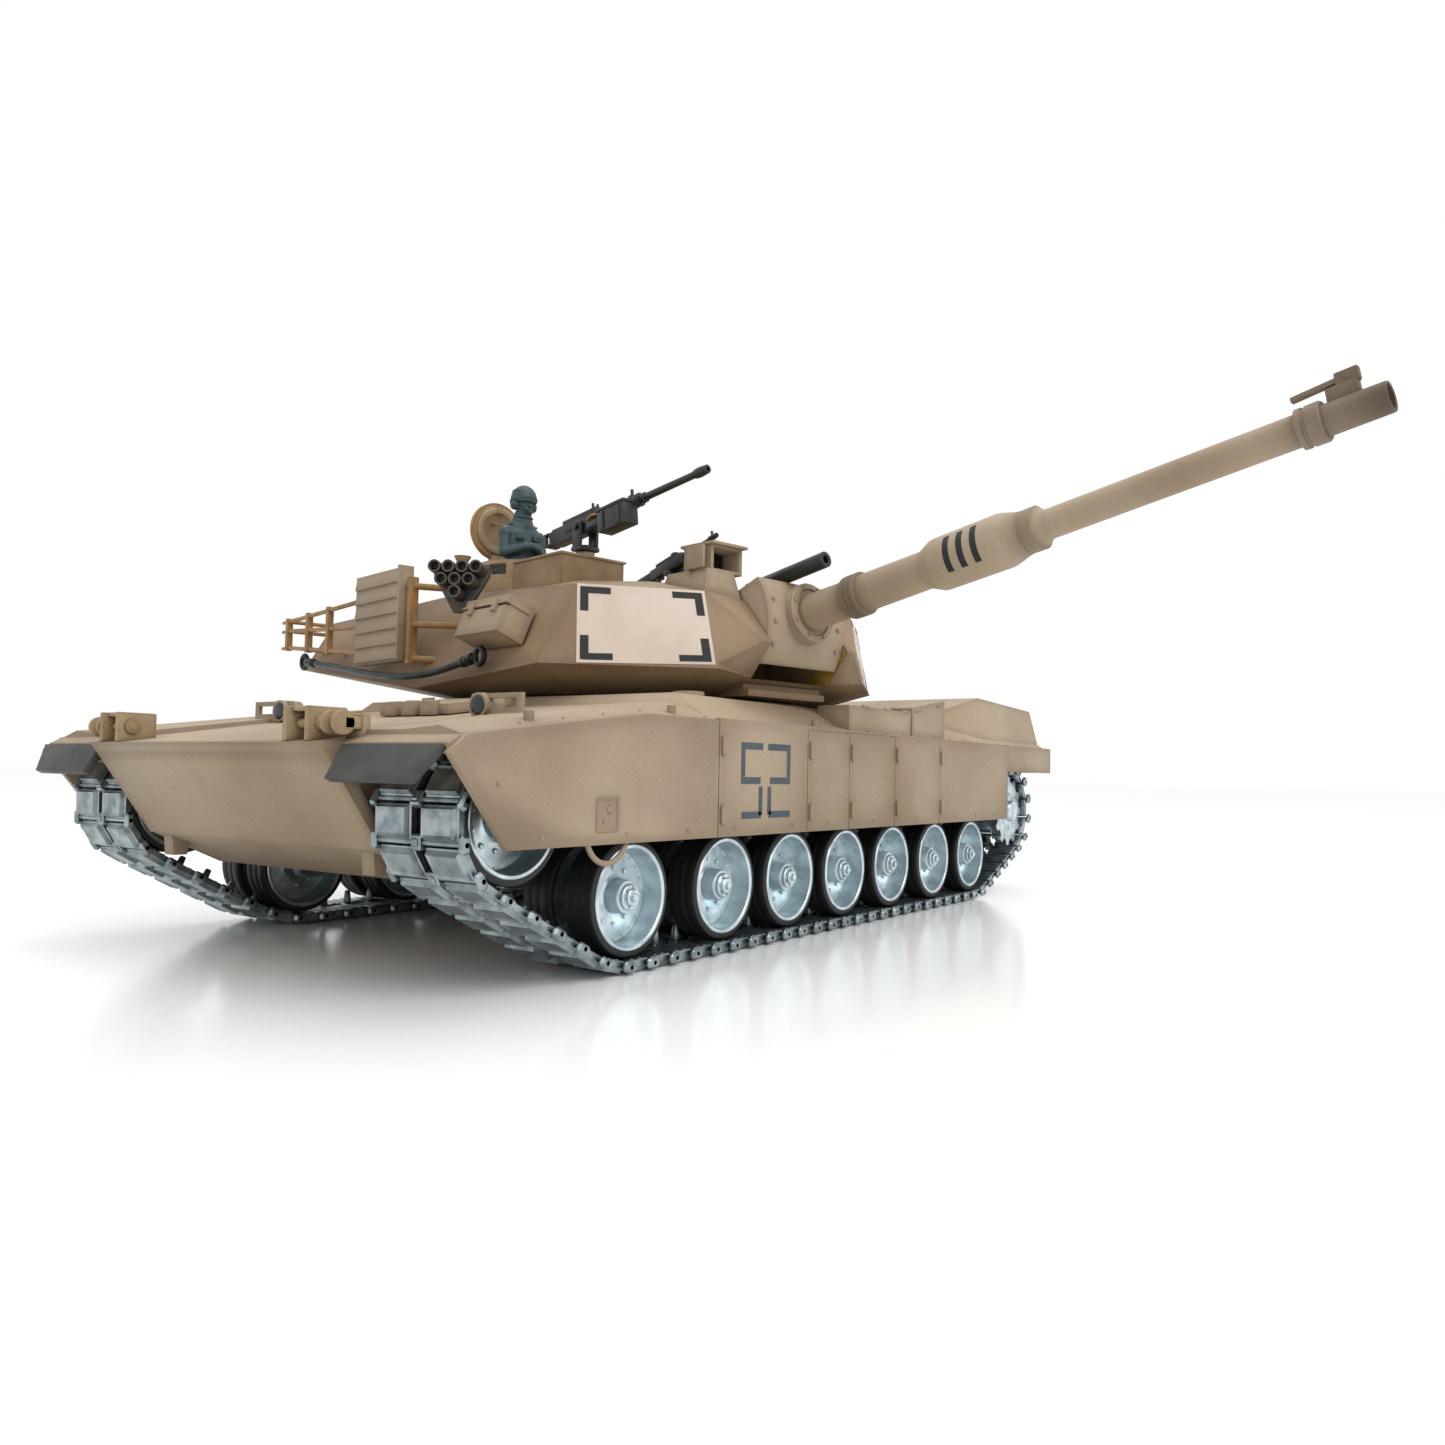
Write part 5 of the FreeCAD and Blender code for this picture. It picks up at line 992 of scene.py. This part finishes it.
def makeHeavyGun():
    line = heavy["bore"]
    place = heavyPlace @ shift(stance["heavyPivot"])
    parts = [block((-22, -3.1, -3.1), (12, 3.1, 4.4), 0.4),
             block((12, -2.6, -2.2), (21, 2.6, 4.6), 0.4),
             block((-14, -2.8, 4.2), (11, 2.8, 6.4), 0.6),
             block((-12, -3.5, 0.4), (9, -2.9, 3.0), 0.2),
             block((-9, 2.9, -0.6), (10, 3.6, 2.4), 0.25),
             block((-24.4, -3.2, -2.5), (-21.8, 3.2, 3.7), 0.5),
             block((-28.2, -3.4, -2.6), (-24.0, 3.4, -1.5), 0.4),
             block((-28.2, -3.4, 2.7), (-24.0, 3.4, 3.8), 0.4)]
    for side in (-1, 1):
        parts.append(rod((-27.4, side * 2.3, -2.2), (-27.4, side * 2.3, 3.4), 0.95, 0.8, 0.2, 16))
    jacket = lathe([(0, 0), (0, 2.7), (18, 2.7), (18.6, 2.2), (18.6, 0)], "X", 32)
    ring = lathe([(0, 2.6), (0, 2.95), (0.9, 2.95), (0.9, 2.6), (0, 2.6)], "X", 24)
    repeated(ring, [shift((0.3 + 3.4 * i, 0, 0)) for i in range(6)])
    vent = rod((0, 0, 2.4), (0, 0, 2.85), 0.62, 0.5, 0, 10)
    repeated(vent, [shift((2.45 + 3.4 * i, 0, 0)) @ Matrix.Rotation(math.pi * k / 4, 4, "X")
                    for i in range(5) for k in range(8)])
    tube = lathe([(18, 0), (18, 1.6), (53, 1.45), (53.4, 1.9), (56.2, 2.1), (60.4, 1.75), (60.5, 0.9),
                  (56, 0.9), (56, 0)], "X", 28)
    barrel = joined([jacket, ring, vent, tube])
    parts.append(moved(barrel, (21.0, 0, line)))
    parts.append(rod((41, 0, line), (43, 0, line), 2.2, 2.2, 0.3, 24))
    parts.append(block((33.2, -0.5, 4.0), (34.4, 0.5, 7.6), 0.15))
    parts.append(block((32.4, -1.3, 3.9), (35.2, 1.3, 4.9), 0.25))
    parts.append(block((7.2, -1.7, 6.2), (8.4, -0.9, 9.0), 0.2))
    parts.append(block((7.2, 0.9, 6.2), (8.4, 1.7, 9.0), 0.2))
    parts.append(block((6.2, -1.8, 6.1), (10.2, 1.8, 6.9), 0.2))
    parts.append(rod((-2, 3.0, 1.0), (-2, 6.0, 1.0), 0.7, 0.7, 0.2, 14))
    parts.append(rod((-2, 5.6, 1.0), (-2, 7.0, 1.0), 1.1, 0.9, 0.3, 16))
    parts.append(block((20.8, -9.6, -9.8), (39.2, -1.8, -0.4), 0.4))
    parts.append(block((20.3, -10.0, -0.7), (39.7, -1.5, 0.6), 0.35))
    for x in (24.5, 35.5):
        parts.append(block((x - 0.9, -10.1, -9.2), (x + 0.9, -9.4, -1.0), 0.2))
    parts.append(rod((26.5, -7.0, 1.7), (33.5, -7.0, 1.7), 0.45, edge=0.1, sides=12))
    for x in (26.7, 33.3):
        parts.append(rod((x, -7.0, 0.4), (x, -7.0, 1.9), 0.45, edge=0.1, sides=12))
    parts.append(block((9.6, -7.0, -4.4), (21.4, -2.4, -1.2), 0.35))
    parts.append(rod((0, -6.2, 0), (0, 6.2, 0), 1.0, edge=0.2, sides=20))
    for y in (-6.4, 5.6):
        parts.append(rod((0, y, 0), (0, y + 0.8, 0), 1.7, 1.5, 0.2, 6))
    shot = lathe([(0, 0), (0, 0.52), (4.2, 0.5), (4.8, 0.34), (6.0, 0.1), (6.0, 0)], "Y", 12)
    belt = repeated(shot, [shift((10.8 + 1.15 * i, -7.6, 1.2 * math.sin(0.5 * i) - 0.6)) for i in range(6)])
    body = placed(joined(parts), place)
    finished(body, "heavy_gun_body", "blackPlastic", "heavy_mg")
    finished(placed(belt, place), "heavy_gun_belt", "ochre", "heavy_mg")
    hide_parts("heavy_mg")


# the fork's places are mm from the foot of its post
def makeHeavyFork():
    x0, y0, z0 = stance["heavyPivot"]
    rise = z0 - heavy["boxTop"]
    parts = [rod((0, 0, -5.8), (0, 0, 5.0), 1.98, edge=0.3, sides=28),
             block((-4.0, -5.2, 2.5), (4.0, 5.2, 4.6), 0.6),
             rod((0, 0, 2.5), (0, 0, 5.4), 3.3, 2.8, 0.4, 28)]
    for y, bolt in ((-5.2, -5.4), (3.7, 5.0)):
        parts.append(block((-2.9, y, 4.0), (2.9, y + 1.5, rise + 0.4), 0.3))
        parts.append(rod((0, y, rise), (0, y + 1.5, rise), 2.6, edge=0.25, sides=24))
        for x in (-1.9, 1.9):
            parts.append(rod((x, bolt, 6.2), (x, bolt + 0.4, 6.2), 0.55, edge=0.1, sides=6))
    piece = placed(joined(parts), turretPlace @ shift((x0, y0, heavy["boxTop"])))
    finished(piece, "heavy_gun_fork", "blackPlastic", "heavy_mg_cradle")
    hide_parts("heavy_mg_cradle")


makeHeavyGun()
makeHeavyFork()


# light machine gun on the loader's swing post; places are mm from its pivot

light = {"socketTop": 158.0}


def makeLightGun():
    parts = [block((-14, -1.9, -2.5), (11.8, 1.9, 2.9), 0.5),
             block((-9, -1.7, 2.7), (8.4, 1.7, 4.5), 0.6),
             block((3.0, -1.0, 4.3), (6.0, 1.0, 5.6), 0.3),
             turned(block((-11.2, -1.2, -6.4), (-8.4, 1.2, -2.0), 0.5), 14.0, "Y", (-9.8, 0, -2)),
             block((-0.2, 1.7, -5.8), (9.0, 6.9, 0.6), 0.7),
             block((-0.5, 1.6, 0.2), (9.3, 7.0, 1.1), 0.3),
             block((-7.6, -0.5, -4.6), (-5.6, 0.5, -2.2), 0.2)]
    stock = block((-27.0, -1.5, -3.3), (-13.6, 1.5, 2.5), 0.0)
    pickFaces(stock, lambda f: f.normal.x > 0.9)
    bpy.ops.transform.resize(value=(1.0, 0.75, 0.58), center_override=(-13.6 * mm, 0, 0.5 * mm))
    leave()
    softEdges(stock, 0.5)
    parts.append(stock)
    tube = lathe([(0, 0), (0, 1.5), (6.0, 1.4), (6.4, 1.05), (19.5, 0.95), (19.8, 1.4), (22.4, 1.5),
                  (25.2, 1.2), (25.2, 0.55), (22, 0.55), (22, 0)], "X", 24)
    parts.append(moved(tube, (11.6, 0, 1.2)))
    parts.append(rod((11.6, 0, -1.2), (26, 0, -1.2), 0.8, 0.7, 0.15, 16))
    parts.append(block((24.6, -0.9, -1.9), (26.4, 0.9, 1.6), 0.25))
    parts.append(block((33.0, -0.4, 2.0), (34.2, 0.4, 4.6), 0.12))
    for side in (-1, 1):
        parts.append(rod((12.5, side * 1.5, -2.4), (24.5, side * 1.3, -2.2), 0.4, edge=0.1, sides=10))
    x, y, z = stance["lightPivot"]
    raised = raisedAbout(stance["lightPivot"], stance["lightRaise"])
    gunPart = placed(joined(parts), raised @ shift(stance["lightPivot"]))
    post = rod((x, y, 152.2), (x, y, z - 1.6), 1.56, edge=0.2, sides=24)
    collar = rod((x, y, light["socketTop"] + 0.4), (x, y, 160.2), 3.0, 2.7, 0.35, 28)
    fork = block((x - 2.2, y - 2.6, z - 5.0), (x + 2.2, y + 2.6, z - 2.2), 0.4)
    piece = placed(joined([gunPart, post, collar, fork]), turretPlace)
    finished(piece, "light_gun_body", "blackPlastic", "light_mg")
    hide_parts("light_mg")


makeLightGun()
print("machine guns made")


# commander: a plain half figure with folded arms, padded helmet and headset

figure = {"x": -35.0, "y": -54.0, "waist": 148.5, "shoulder": 180.0, "head": 193.6}


def ball(centre, radii, lean=(0.0, 0.0, 0.0)):
    clear()
    bpy.ops.mesh.primitive_uv_sphere_add(segments=28, ring_count=18, radius=mm)
    piece = bpy.context.object
    piece.scale = radii
    piece.rotation_euler = [math.radians(a) for a in lean]
    piece.location = Vector(centre) * mm
    bpy.ops.object.transform_apply(location=True, rotation=True, scale=True)
    return piece


# separate volumes melted into one skin
def melded(parts, grid, passes):
    piece = joined(parts)
    tool = piece.modifiers.new("meld", "REMESH")
    tool.mode = "VOXEL"
    tool.voxel_size = grid * mm
    tool = piece.modifiers.new("soften", "SMOOTH")
    tool.factor = 0.5
    tool.iterations = passes
    applyAll(piece)
    return piece


# cuts a part of the helmet off along its brow line, and closes it
def cutBelow(piece, place):
    editAll(piece)
    bpy.ops.mesh.bisect(plane_co=tuple(Vector(place) * mm), plane_no=(0.12, 0, 1), clear_inner=True,
                        use_fill=True)
    leave()


def makeFigure():
    x, y, w, s, h = (figure[k] for k in ("x", "y", "waist", "shoulder", "head"))
    body = [rod((x, y, w), (x, y, 166.0), 6.8, 7.4, 0.5, 32), ball((x, y, 166.0), (5.8, 8.8, 5.5)),
            ball((x, y, 174.0), (6.2, 9.4, 8.6)), ball((x + 0.4, y, 179.0), (4.8, 9.2, 4.6)),
            ball((x, y, 182.0), (4.7, 7.6, 4.8)), ball((x + 0.2, y, 185.0), (4.4, 5.4, 4.4)),
            rod((x + 0.5, y, 182.0), (x + 0.9, y, 190.5), 4.5, 4.0, 0.3, 28)]
    for side in (-1, 1):
        shoulder, elbow = (x + 0.2, y + side * 9.2, s - 1.4), (x + 1.8, y + side * 10.6, 169.4)
        wrist, hand = (x + 8.6, y + side * 3.4, 172.0), (x + 8.9, y - side * 0.8, 172.6)
        body += [ball(shoulder, (3.4, 3.3, 3.5)), rod(shoulder, elbow, 3.0, 2.6, 0.2, 20),
                 ball(elbow, (2.7, 2.7, 2.7)), rod(elbow, wrist, 2.6, 2.0, 0.2, 20),
                 ball(wrist, (2.0, 2.0, 1.9)), ball(hand, (1.5, 2.5, 1.7)),
                 rod(shoulder, (x + 1.0, y + side * 3.0, s + 3.2), 2.6, 2.2, 0.2, 20)]
        for i in range(4):
            body.append(ball((x + 9.4, y - side * (2.4 + 0.1 * i), 173.9 - 0.95 * i), (0.62, 1.5, 0.5)))
    torso = melded(body, 0.34, 4)
    creases = []
    for side in (-1, 1):
        creases.append(block((x + 5.4, y + side * 4.6 - 2.2, 175.6), (x + 6.8, y + side * 4.6 + 2.2, 178.6),
                             0.35))
        creases.append(block((x - 1.6, y + side * 5.4 - 2.0, 183.0), (x + 2.4, y + side * 5.4 + 2.0, 184.0),
                             0.3))
    collar = ball((x + 0.8, y, 187.6), (4.7, 4.9, 1.5), (0, 8, 0))
    belt = lathe([(0, 0), (0, 7.9), (0.4, 8.3), (2.0, 8.3), (2.4, 7.9), (2.4, 0)], "Z", 40)
    placed(belt, shift((x, y, 163.2)) @ Matrix.Scale(0.86, 4, (1, 0, 0)))
    face = [ball((x + 1.5, y, h + 0.6), (4.9, 4.6, 5.2)), ball((x + 2.2, y, h - 2.6), (4.1, 3.9, 3.4)),
            ball((x + 4.9, y, h - 3.7), (1.6, 1.7, 1.3)),
            ball((x + 6.2, y, h - 0.5), (1.0, 0.75, 1.4), (0, -18, 0)),
            ball((x + 6.5, y, h - 1.3), (0.9, 0.95, 0.6)), ball((x + 5.4, y, h + 1.7), (1.1, 3.0, 0.75)),
            ball((x + 5.7, y, h - 2.45), (0.8, 1.35, 0.36)), ball((x + 5.55, y, h - 2.95), (0.8, 1.15, 0.4))]
    for side in (-1, 1):
        face += [ball((x + 4.5, y + side * 2.3, h - 1.0), (1.3, 1.2, 1.5)),
                 ball((x + 5.15, y + side * 1.7, h + 0.55), (0.75, 0.85, 0.5)),
                 ball((x + 1.4, y + side * 4.2, h - 0.5), (1.2, 0.7, 1.7))]
    head = melded(face, 0.17, 3)
    crown = ball((x + 1.0, y, h + 2.2), (6.7, 6.2, 7.4))
    cutBelow(crown, (x, y, h + 1.6))
    ridges = []
    for turn in (-52, -26, 0, 26, 52):
        ridge = ball((0, 0, 0), (6.3, 0.7, 6.9))
        ridges.append(placed(ridge, shift((x + 1.0, y, h + 2.5))
                             @ Matrix.Rotation(math.radians(turn), 4, "X")))
    pads = joined(ridges)
    cutBelow(pads, (x, y, h + 2.0))
    rim = lathe([(0, 0), (0, 6.5), (0.35, 6.9), (1.2, 6.9), (1.6, 6.4), (1.6, 0)], "Z", 48)
    placed(rim, shift((x + 1.0, y, h + 1.3)) @ Matrix.Rotation(math.radians(-6.0), 4, "Y")
           @ Matrix.Scale(0.94, 4, (0, 1, 0)))
    muffs = []
    for side in (-1, 1):
        muffs.append(rod((x + 0.9, y + side * 4.0, h - 0.4), (x + 0.9, y + side * 6.3, h - 0.4), 2.7, 2.3,
                         0.5, 28))
        muffs.append(rod((x + 0.9, y + side * 6.0, h - 0.4), (x + 0.9, y + side * 6.7, h - 0.4), 1.3, 1.0,
                         0.2, 20))
        muffs.append(rod((x + 1.4, y + side * 4.6, h - 2.4), (x + 4.2, y + side * 1.6, h - 5.0), 0.5, 0.5,
                         0.1, 10))
    boom = rod((x + 2.0, y - 5.6, h - 1.6), (x + 6.7, y - 2.0, h - 3.0), 0.34, 0.34, 0.1, 10)
    tip = ball((x + 6.9, y - 1.6, h - 3.1), (0.6, 0.9, 0.6))
    parts = [torso, collar, belt, head, crown, pads, rim, boom, tip] + creases + muffs
    piece = placed(joined(parts), turretPlace)
    finished(piece, "commander_half_figure", "figure", "turret", 50.0)
    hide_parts("commander_figure")


makeFigure()
print("figure made")


# dressings on the commander's lid, the mantlet, the gunner's sight and the hull

def makeShackles():
    parts = []
    for y0, y1 in ((47.4, 49.6), (58.0, 60.2)):
        parts.append(block((225.0, y0, 73.2), (237.6, y1, 83.4), 0.35))
    parts.append(block((224.4, 47.6, 73.6), (226.2, 60.0, 83.2), 0.3))
    parts.append(block((225.6, 48.0, 82.0), (236.0, 59.8, 83.4), 0.3))
    for y in (46.2, 59.6):
        parts.append(rod((233.0, y, 78.6), (233.0, y + 1.8, 78.6), 2.6, 2.2, 0.3, 24))
    parts.append(rod((233.0, 46.0, 78.6), (233.0, 70.4, 78.6), 1.5, edge=0.3, sides=24))
    for y in (63.4, 68.6):
        parts.append(rod((233.0, y, 78.6), (233.0, y + 2.0, 78.6), 3.6, edge=0.4, sides=32))
        parts.append(block((226.2, y, 76.8), (233.0, y + 2.0, 80.4), 0.4))
    parts.append(block((224.6, 62.8, 74.4), (227.4, 71.2, 81.6), 0.6))
    parts.append(rod((227.4, 67.0, 77.8), (231.0, 67.0, 77.8), 1.9, 1.7, 0.3, 20))
    piece = mirrored(joined(parts))
    finished(piece, "tow_shackle_brackets", "tan", "hull")
    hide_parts("front_tow_shackles")


def makeLid():
    x, y, z = -56.6, stance["heavyPivot"][1], 184.1
    dish = lathe([(0.1, 0), (0.1, 7.4), (0.5, 8.2), (1.5, 9.0), (1.7, 9.8), (1.5, 10.6), (0.4, 11.2),
                  (-0.2, 11.3), (-0.2, 0)], "X", 56)
    rim = lathe([(-2.2, 13.6), (-2.2, 14.3), (-0.2, 14.3), (0.1, 14.0), (0.1, 13.2), (-0.3, 13.2),
                 (-0.6, 13.6), (-2.2, 13.6)], "X", 56)
    handle = [rod((x + 0.1, y - 3.4, z + 3.0), (x + 2.6, y - 3.4, z + 3.0), 0.5, edge=0.1, sides=12),
              rod((x + 0.1, y + 3.4, z + 3.0), (x + 2.6, y + 3.4, z + 3.0), 0.5, edge=0.1, sides=12),
              rod((x + 2.3, y - 3.8, z + 3.0), (x + 2.3, y + 3.8, z + 3.0), 0.5, edge=0.15, sides=12)]
    latch = block((x + 0.0, y - 1.4, z + 8.6), (x + 1.9, y + 1.4, z + 12.4), 0.4)
    piece = placed(joined([moved(dish, (x, y, z)), latch] + handle), turretPlace)
    finished(piece, "commander_lid_dish", "tan", "commander_hatch")
    finished(placed(moved(rim, (x, y, z)), turretPlace), "commander_lid_rim", "ochre", "commander_hatch")


def makeMantletTrim():
    parts = [lathe([(26, 7.2), (26, 12.9), (33.6, 12.9), (34.2, 12.3), (34.2, 10.4), (33.2, 10.0),
                    (33.2, 7.2), (26, 7.2)], "X", 48)]
    for turn in range(0, 360, 45):
        a = math.radians(turn + 22.5)
        spot = Vector((34.0, 11.4 * math.cos(a), 11.4 * math.sin(a)))
        parts.append(rod(spot, spot + Vector((0.9, 0, 0)), 0.75, 0.65, 0.12, 6))
    for side in (-1, 1):
        for turn in (-27.0, -9.0, 9.0):
            reach = Vector((math.cos(math.radians(turn)), 0, math.sin(math.radians(turn))))
            spot = reach * 30.0 + Vector((0, side * 19.6, 0))
            parts.append(rod(spot, spot + reach * 1.5, 1.2, 1.0, 0.2, 6))
    for x in (8.0, 17.0):
        parts.append(rod((x, -20, 11.6), (x, -20, 15.0), 1.1, 0.9, 0.2, 14))
    finished(placed(joined(parts), gunFrame), "mantlet_trim", "sand", "gun")


def makeSightGlass():
    glass = block((72.6, -35.8, 152.0), (73.4, -22.2, 159.6), 0.3)
    ring = rod((73.0, -29.0, 155.8), (74.0, -29.0, 155.8), 2.9, 2.7, 0.15, 28)
    finished(placed(joined([glass, ring]), turretPlace), "sight_window", "glass", "turret")
    frames = []
    for i in range(8):
        turn = 45.0 * i + 22.5
        pane = block((16.4, -3.8, 157.4), (18.4, 3.8, 160.8), 0.3)
        frames.append(placed(pane, shift((-34.0, -54.0, 0)) @ Matrix.Rotation(math.radians(turn), 4, "Z")))
    finished(placed(joined(frames), turretPlace), "vision_blocks", "glass", "turret")
    lamps = []
    for side in (-1, 1):
        lamps.append(rod((171.2, side * 57.0, 87.7), (171.9, side * 57.0, 87.7), 3.6, 3.3, 0.2, 32))
    finished(joined(lamps), "headlamp_lenses", "glass", "hull")


# bare plastic on the far cheek's inner face, beside the gun
def makeBareFace():
    mesh = bpy.data.meshes.new("bare")
    outline = [(80.0, 105.8), (93.4, 106.0), (104.2, 119.6), (99.5, 126.0)]
    mesh.from_pydata([Vector((x, 23.95, z)) * mm for x, z in outline], [], [(0, 1, 2, 3)])
    piece = bpy.data.objects.new("bare", mesh)
    bpy.context.collection.objects.link(piece)
    thickened(piece, 0.12, 0.0)
    finished(placed(piece, turretPlace), "bare_inner_cheek", "bare", "turret")


def makeDeckFittings():
    parts = []
    for x in (-52.0, -34.0, -12.0):
        parts.append(block((x - 2.2, 91.4, 95.4), (x + 2.2, 93.2, 97.9), 0.25))
        parts.append(rod((x - 3.0, 107.6, 97.2), (x + 3.0, 107.6, 97.2), 0.7, edge=0.15, sides=12))
    for x in (-92.0, -66.0):
        parts.append(rod((x - 3.0, 107.8, 101.0 - (x + 79) * 0.15),
                         (x + 3.0, 107.8, 100.1 - (x + 79) * 0.15), 0.7, edge=0.15, sides=12))
    for x, z in ((196.0, 80.6), (128.0, 87.0), (30.0, 87.0)):
        parts.append(rod((x - 3.0, 100.0, z), (x + 3.0, 100.0, z), 0.6, edge=0.12, sides=12))
    for x in range(-230, 220, 18):
        z = 86.0 if x < 150 else 85.0 - (x - 150.6) * 0.127 + 1.0
        parts.append(rod((x, 108.4, z - 1.0), (x, 108.4, z + 0.35), 0.6, 0.5, 0.1, 6))
    piece = mirrored(joined(parts))
    finished(piece, "deck_hinges_bolts", "sand", "hull")


makeShackles()
makeLid()
makeMantletTrim()
makeSightGlass()
makeBareFace()
makeDeckFittings()
print("fittings made")


# floor and light

def makeStudio():
    clear()
    bpy.ops.mesh.primitive_plane_add(size=30.0, location=(0, 0, -0.0002))
    floor = bpy.context.object
    floor.name = "studio_floor"
    finish, tree, shader = newFinish("pale_acrylic_sheet")
    shader.inputs["Base Color"].default_value = hexColour("F4F5F5")
    shader.inputs["Roughness"].default_value = 0.16
    shader.inputs["IOR"].default_value = 1.49
    floor.data.materials.append(finish)
    world = bpy.data.worlds.new("softbox")
    world.use_nodes = True
    world.node_tree.nodes["Background"].inputs["Color"].default_value = (1.0, 1.0, 1.0, 1.0)
    world.node_tree.nodes["Background"].inputs["Strength"].default_value = 1.0
    bpy.context.scene.world = world
    for name, place, size, power in (("keyPanel", (0.5, 1.3, 1.5), 1.2, 14.0),
                                     ("topPanel", (-0.3, -0.2, 1.9), 1.6, 12.0)):
        lamp = bpy.data.lights.new(name, "AREA")
        lamp.size = size
        lamp.energy = power
        holder = bpy.data.objects.new(name, lamp)
        holder.location = place
        holder.rotation_euler = (Vector((0, 0, 0.08)) - Vector(place)).to_track_quat("-Z", "Y").to_euler()
        bpy.context.collection.objects.link(holder)
    bpy.context.scene.view_settings.view_transform = "Standard"


makeStudio()
setCamera()
print("studio ready")
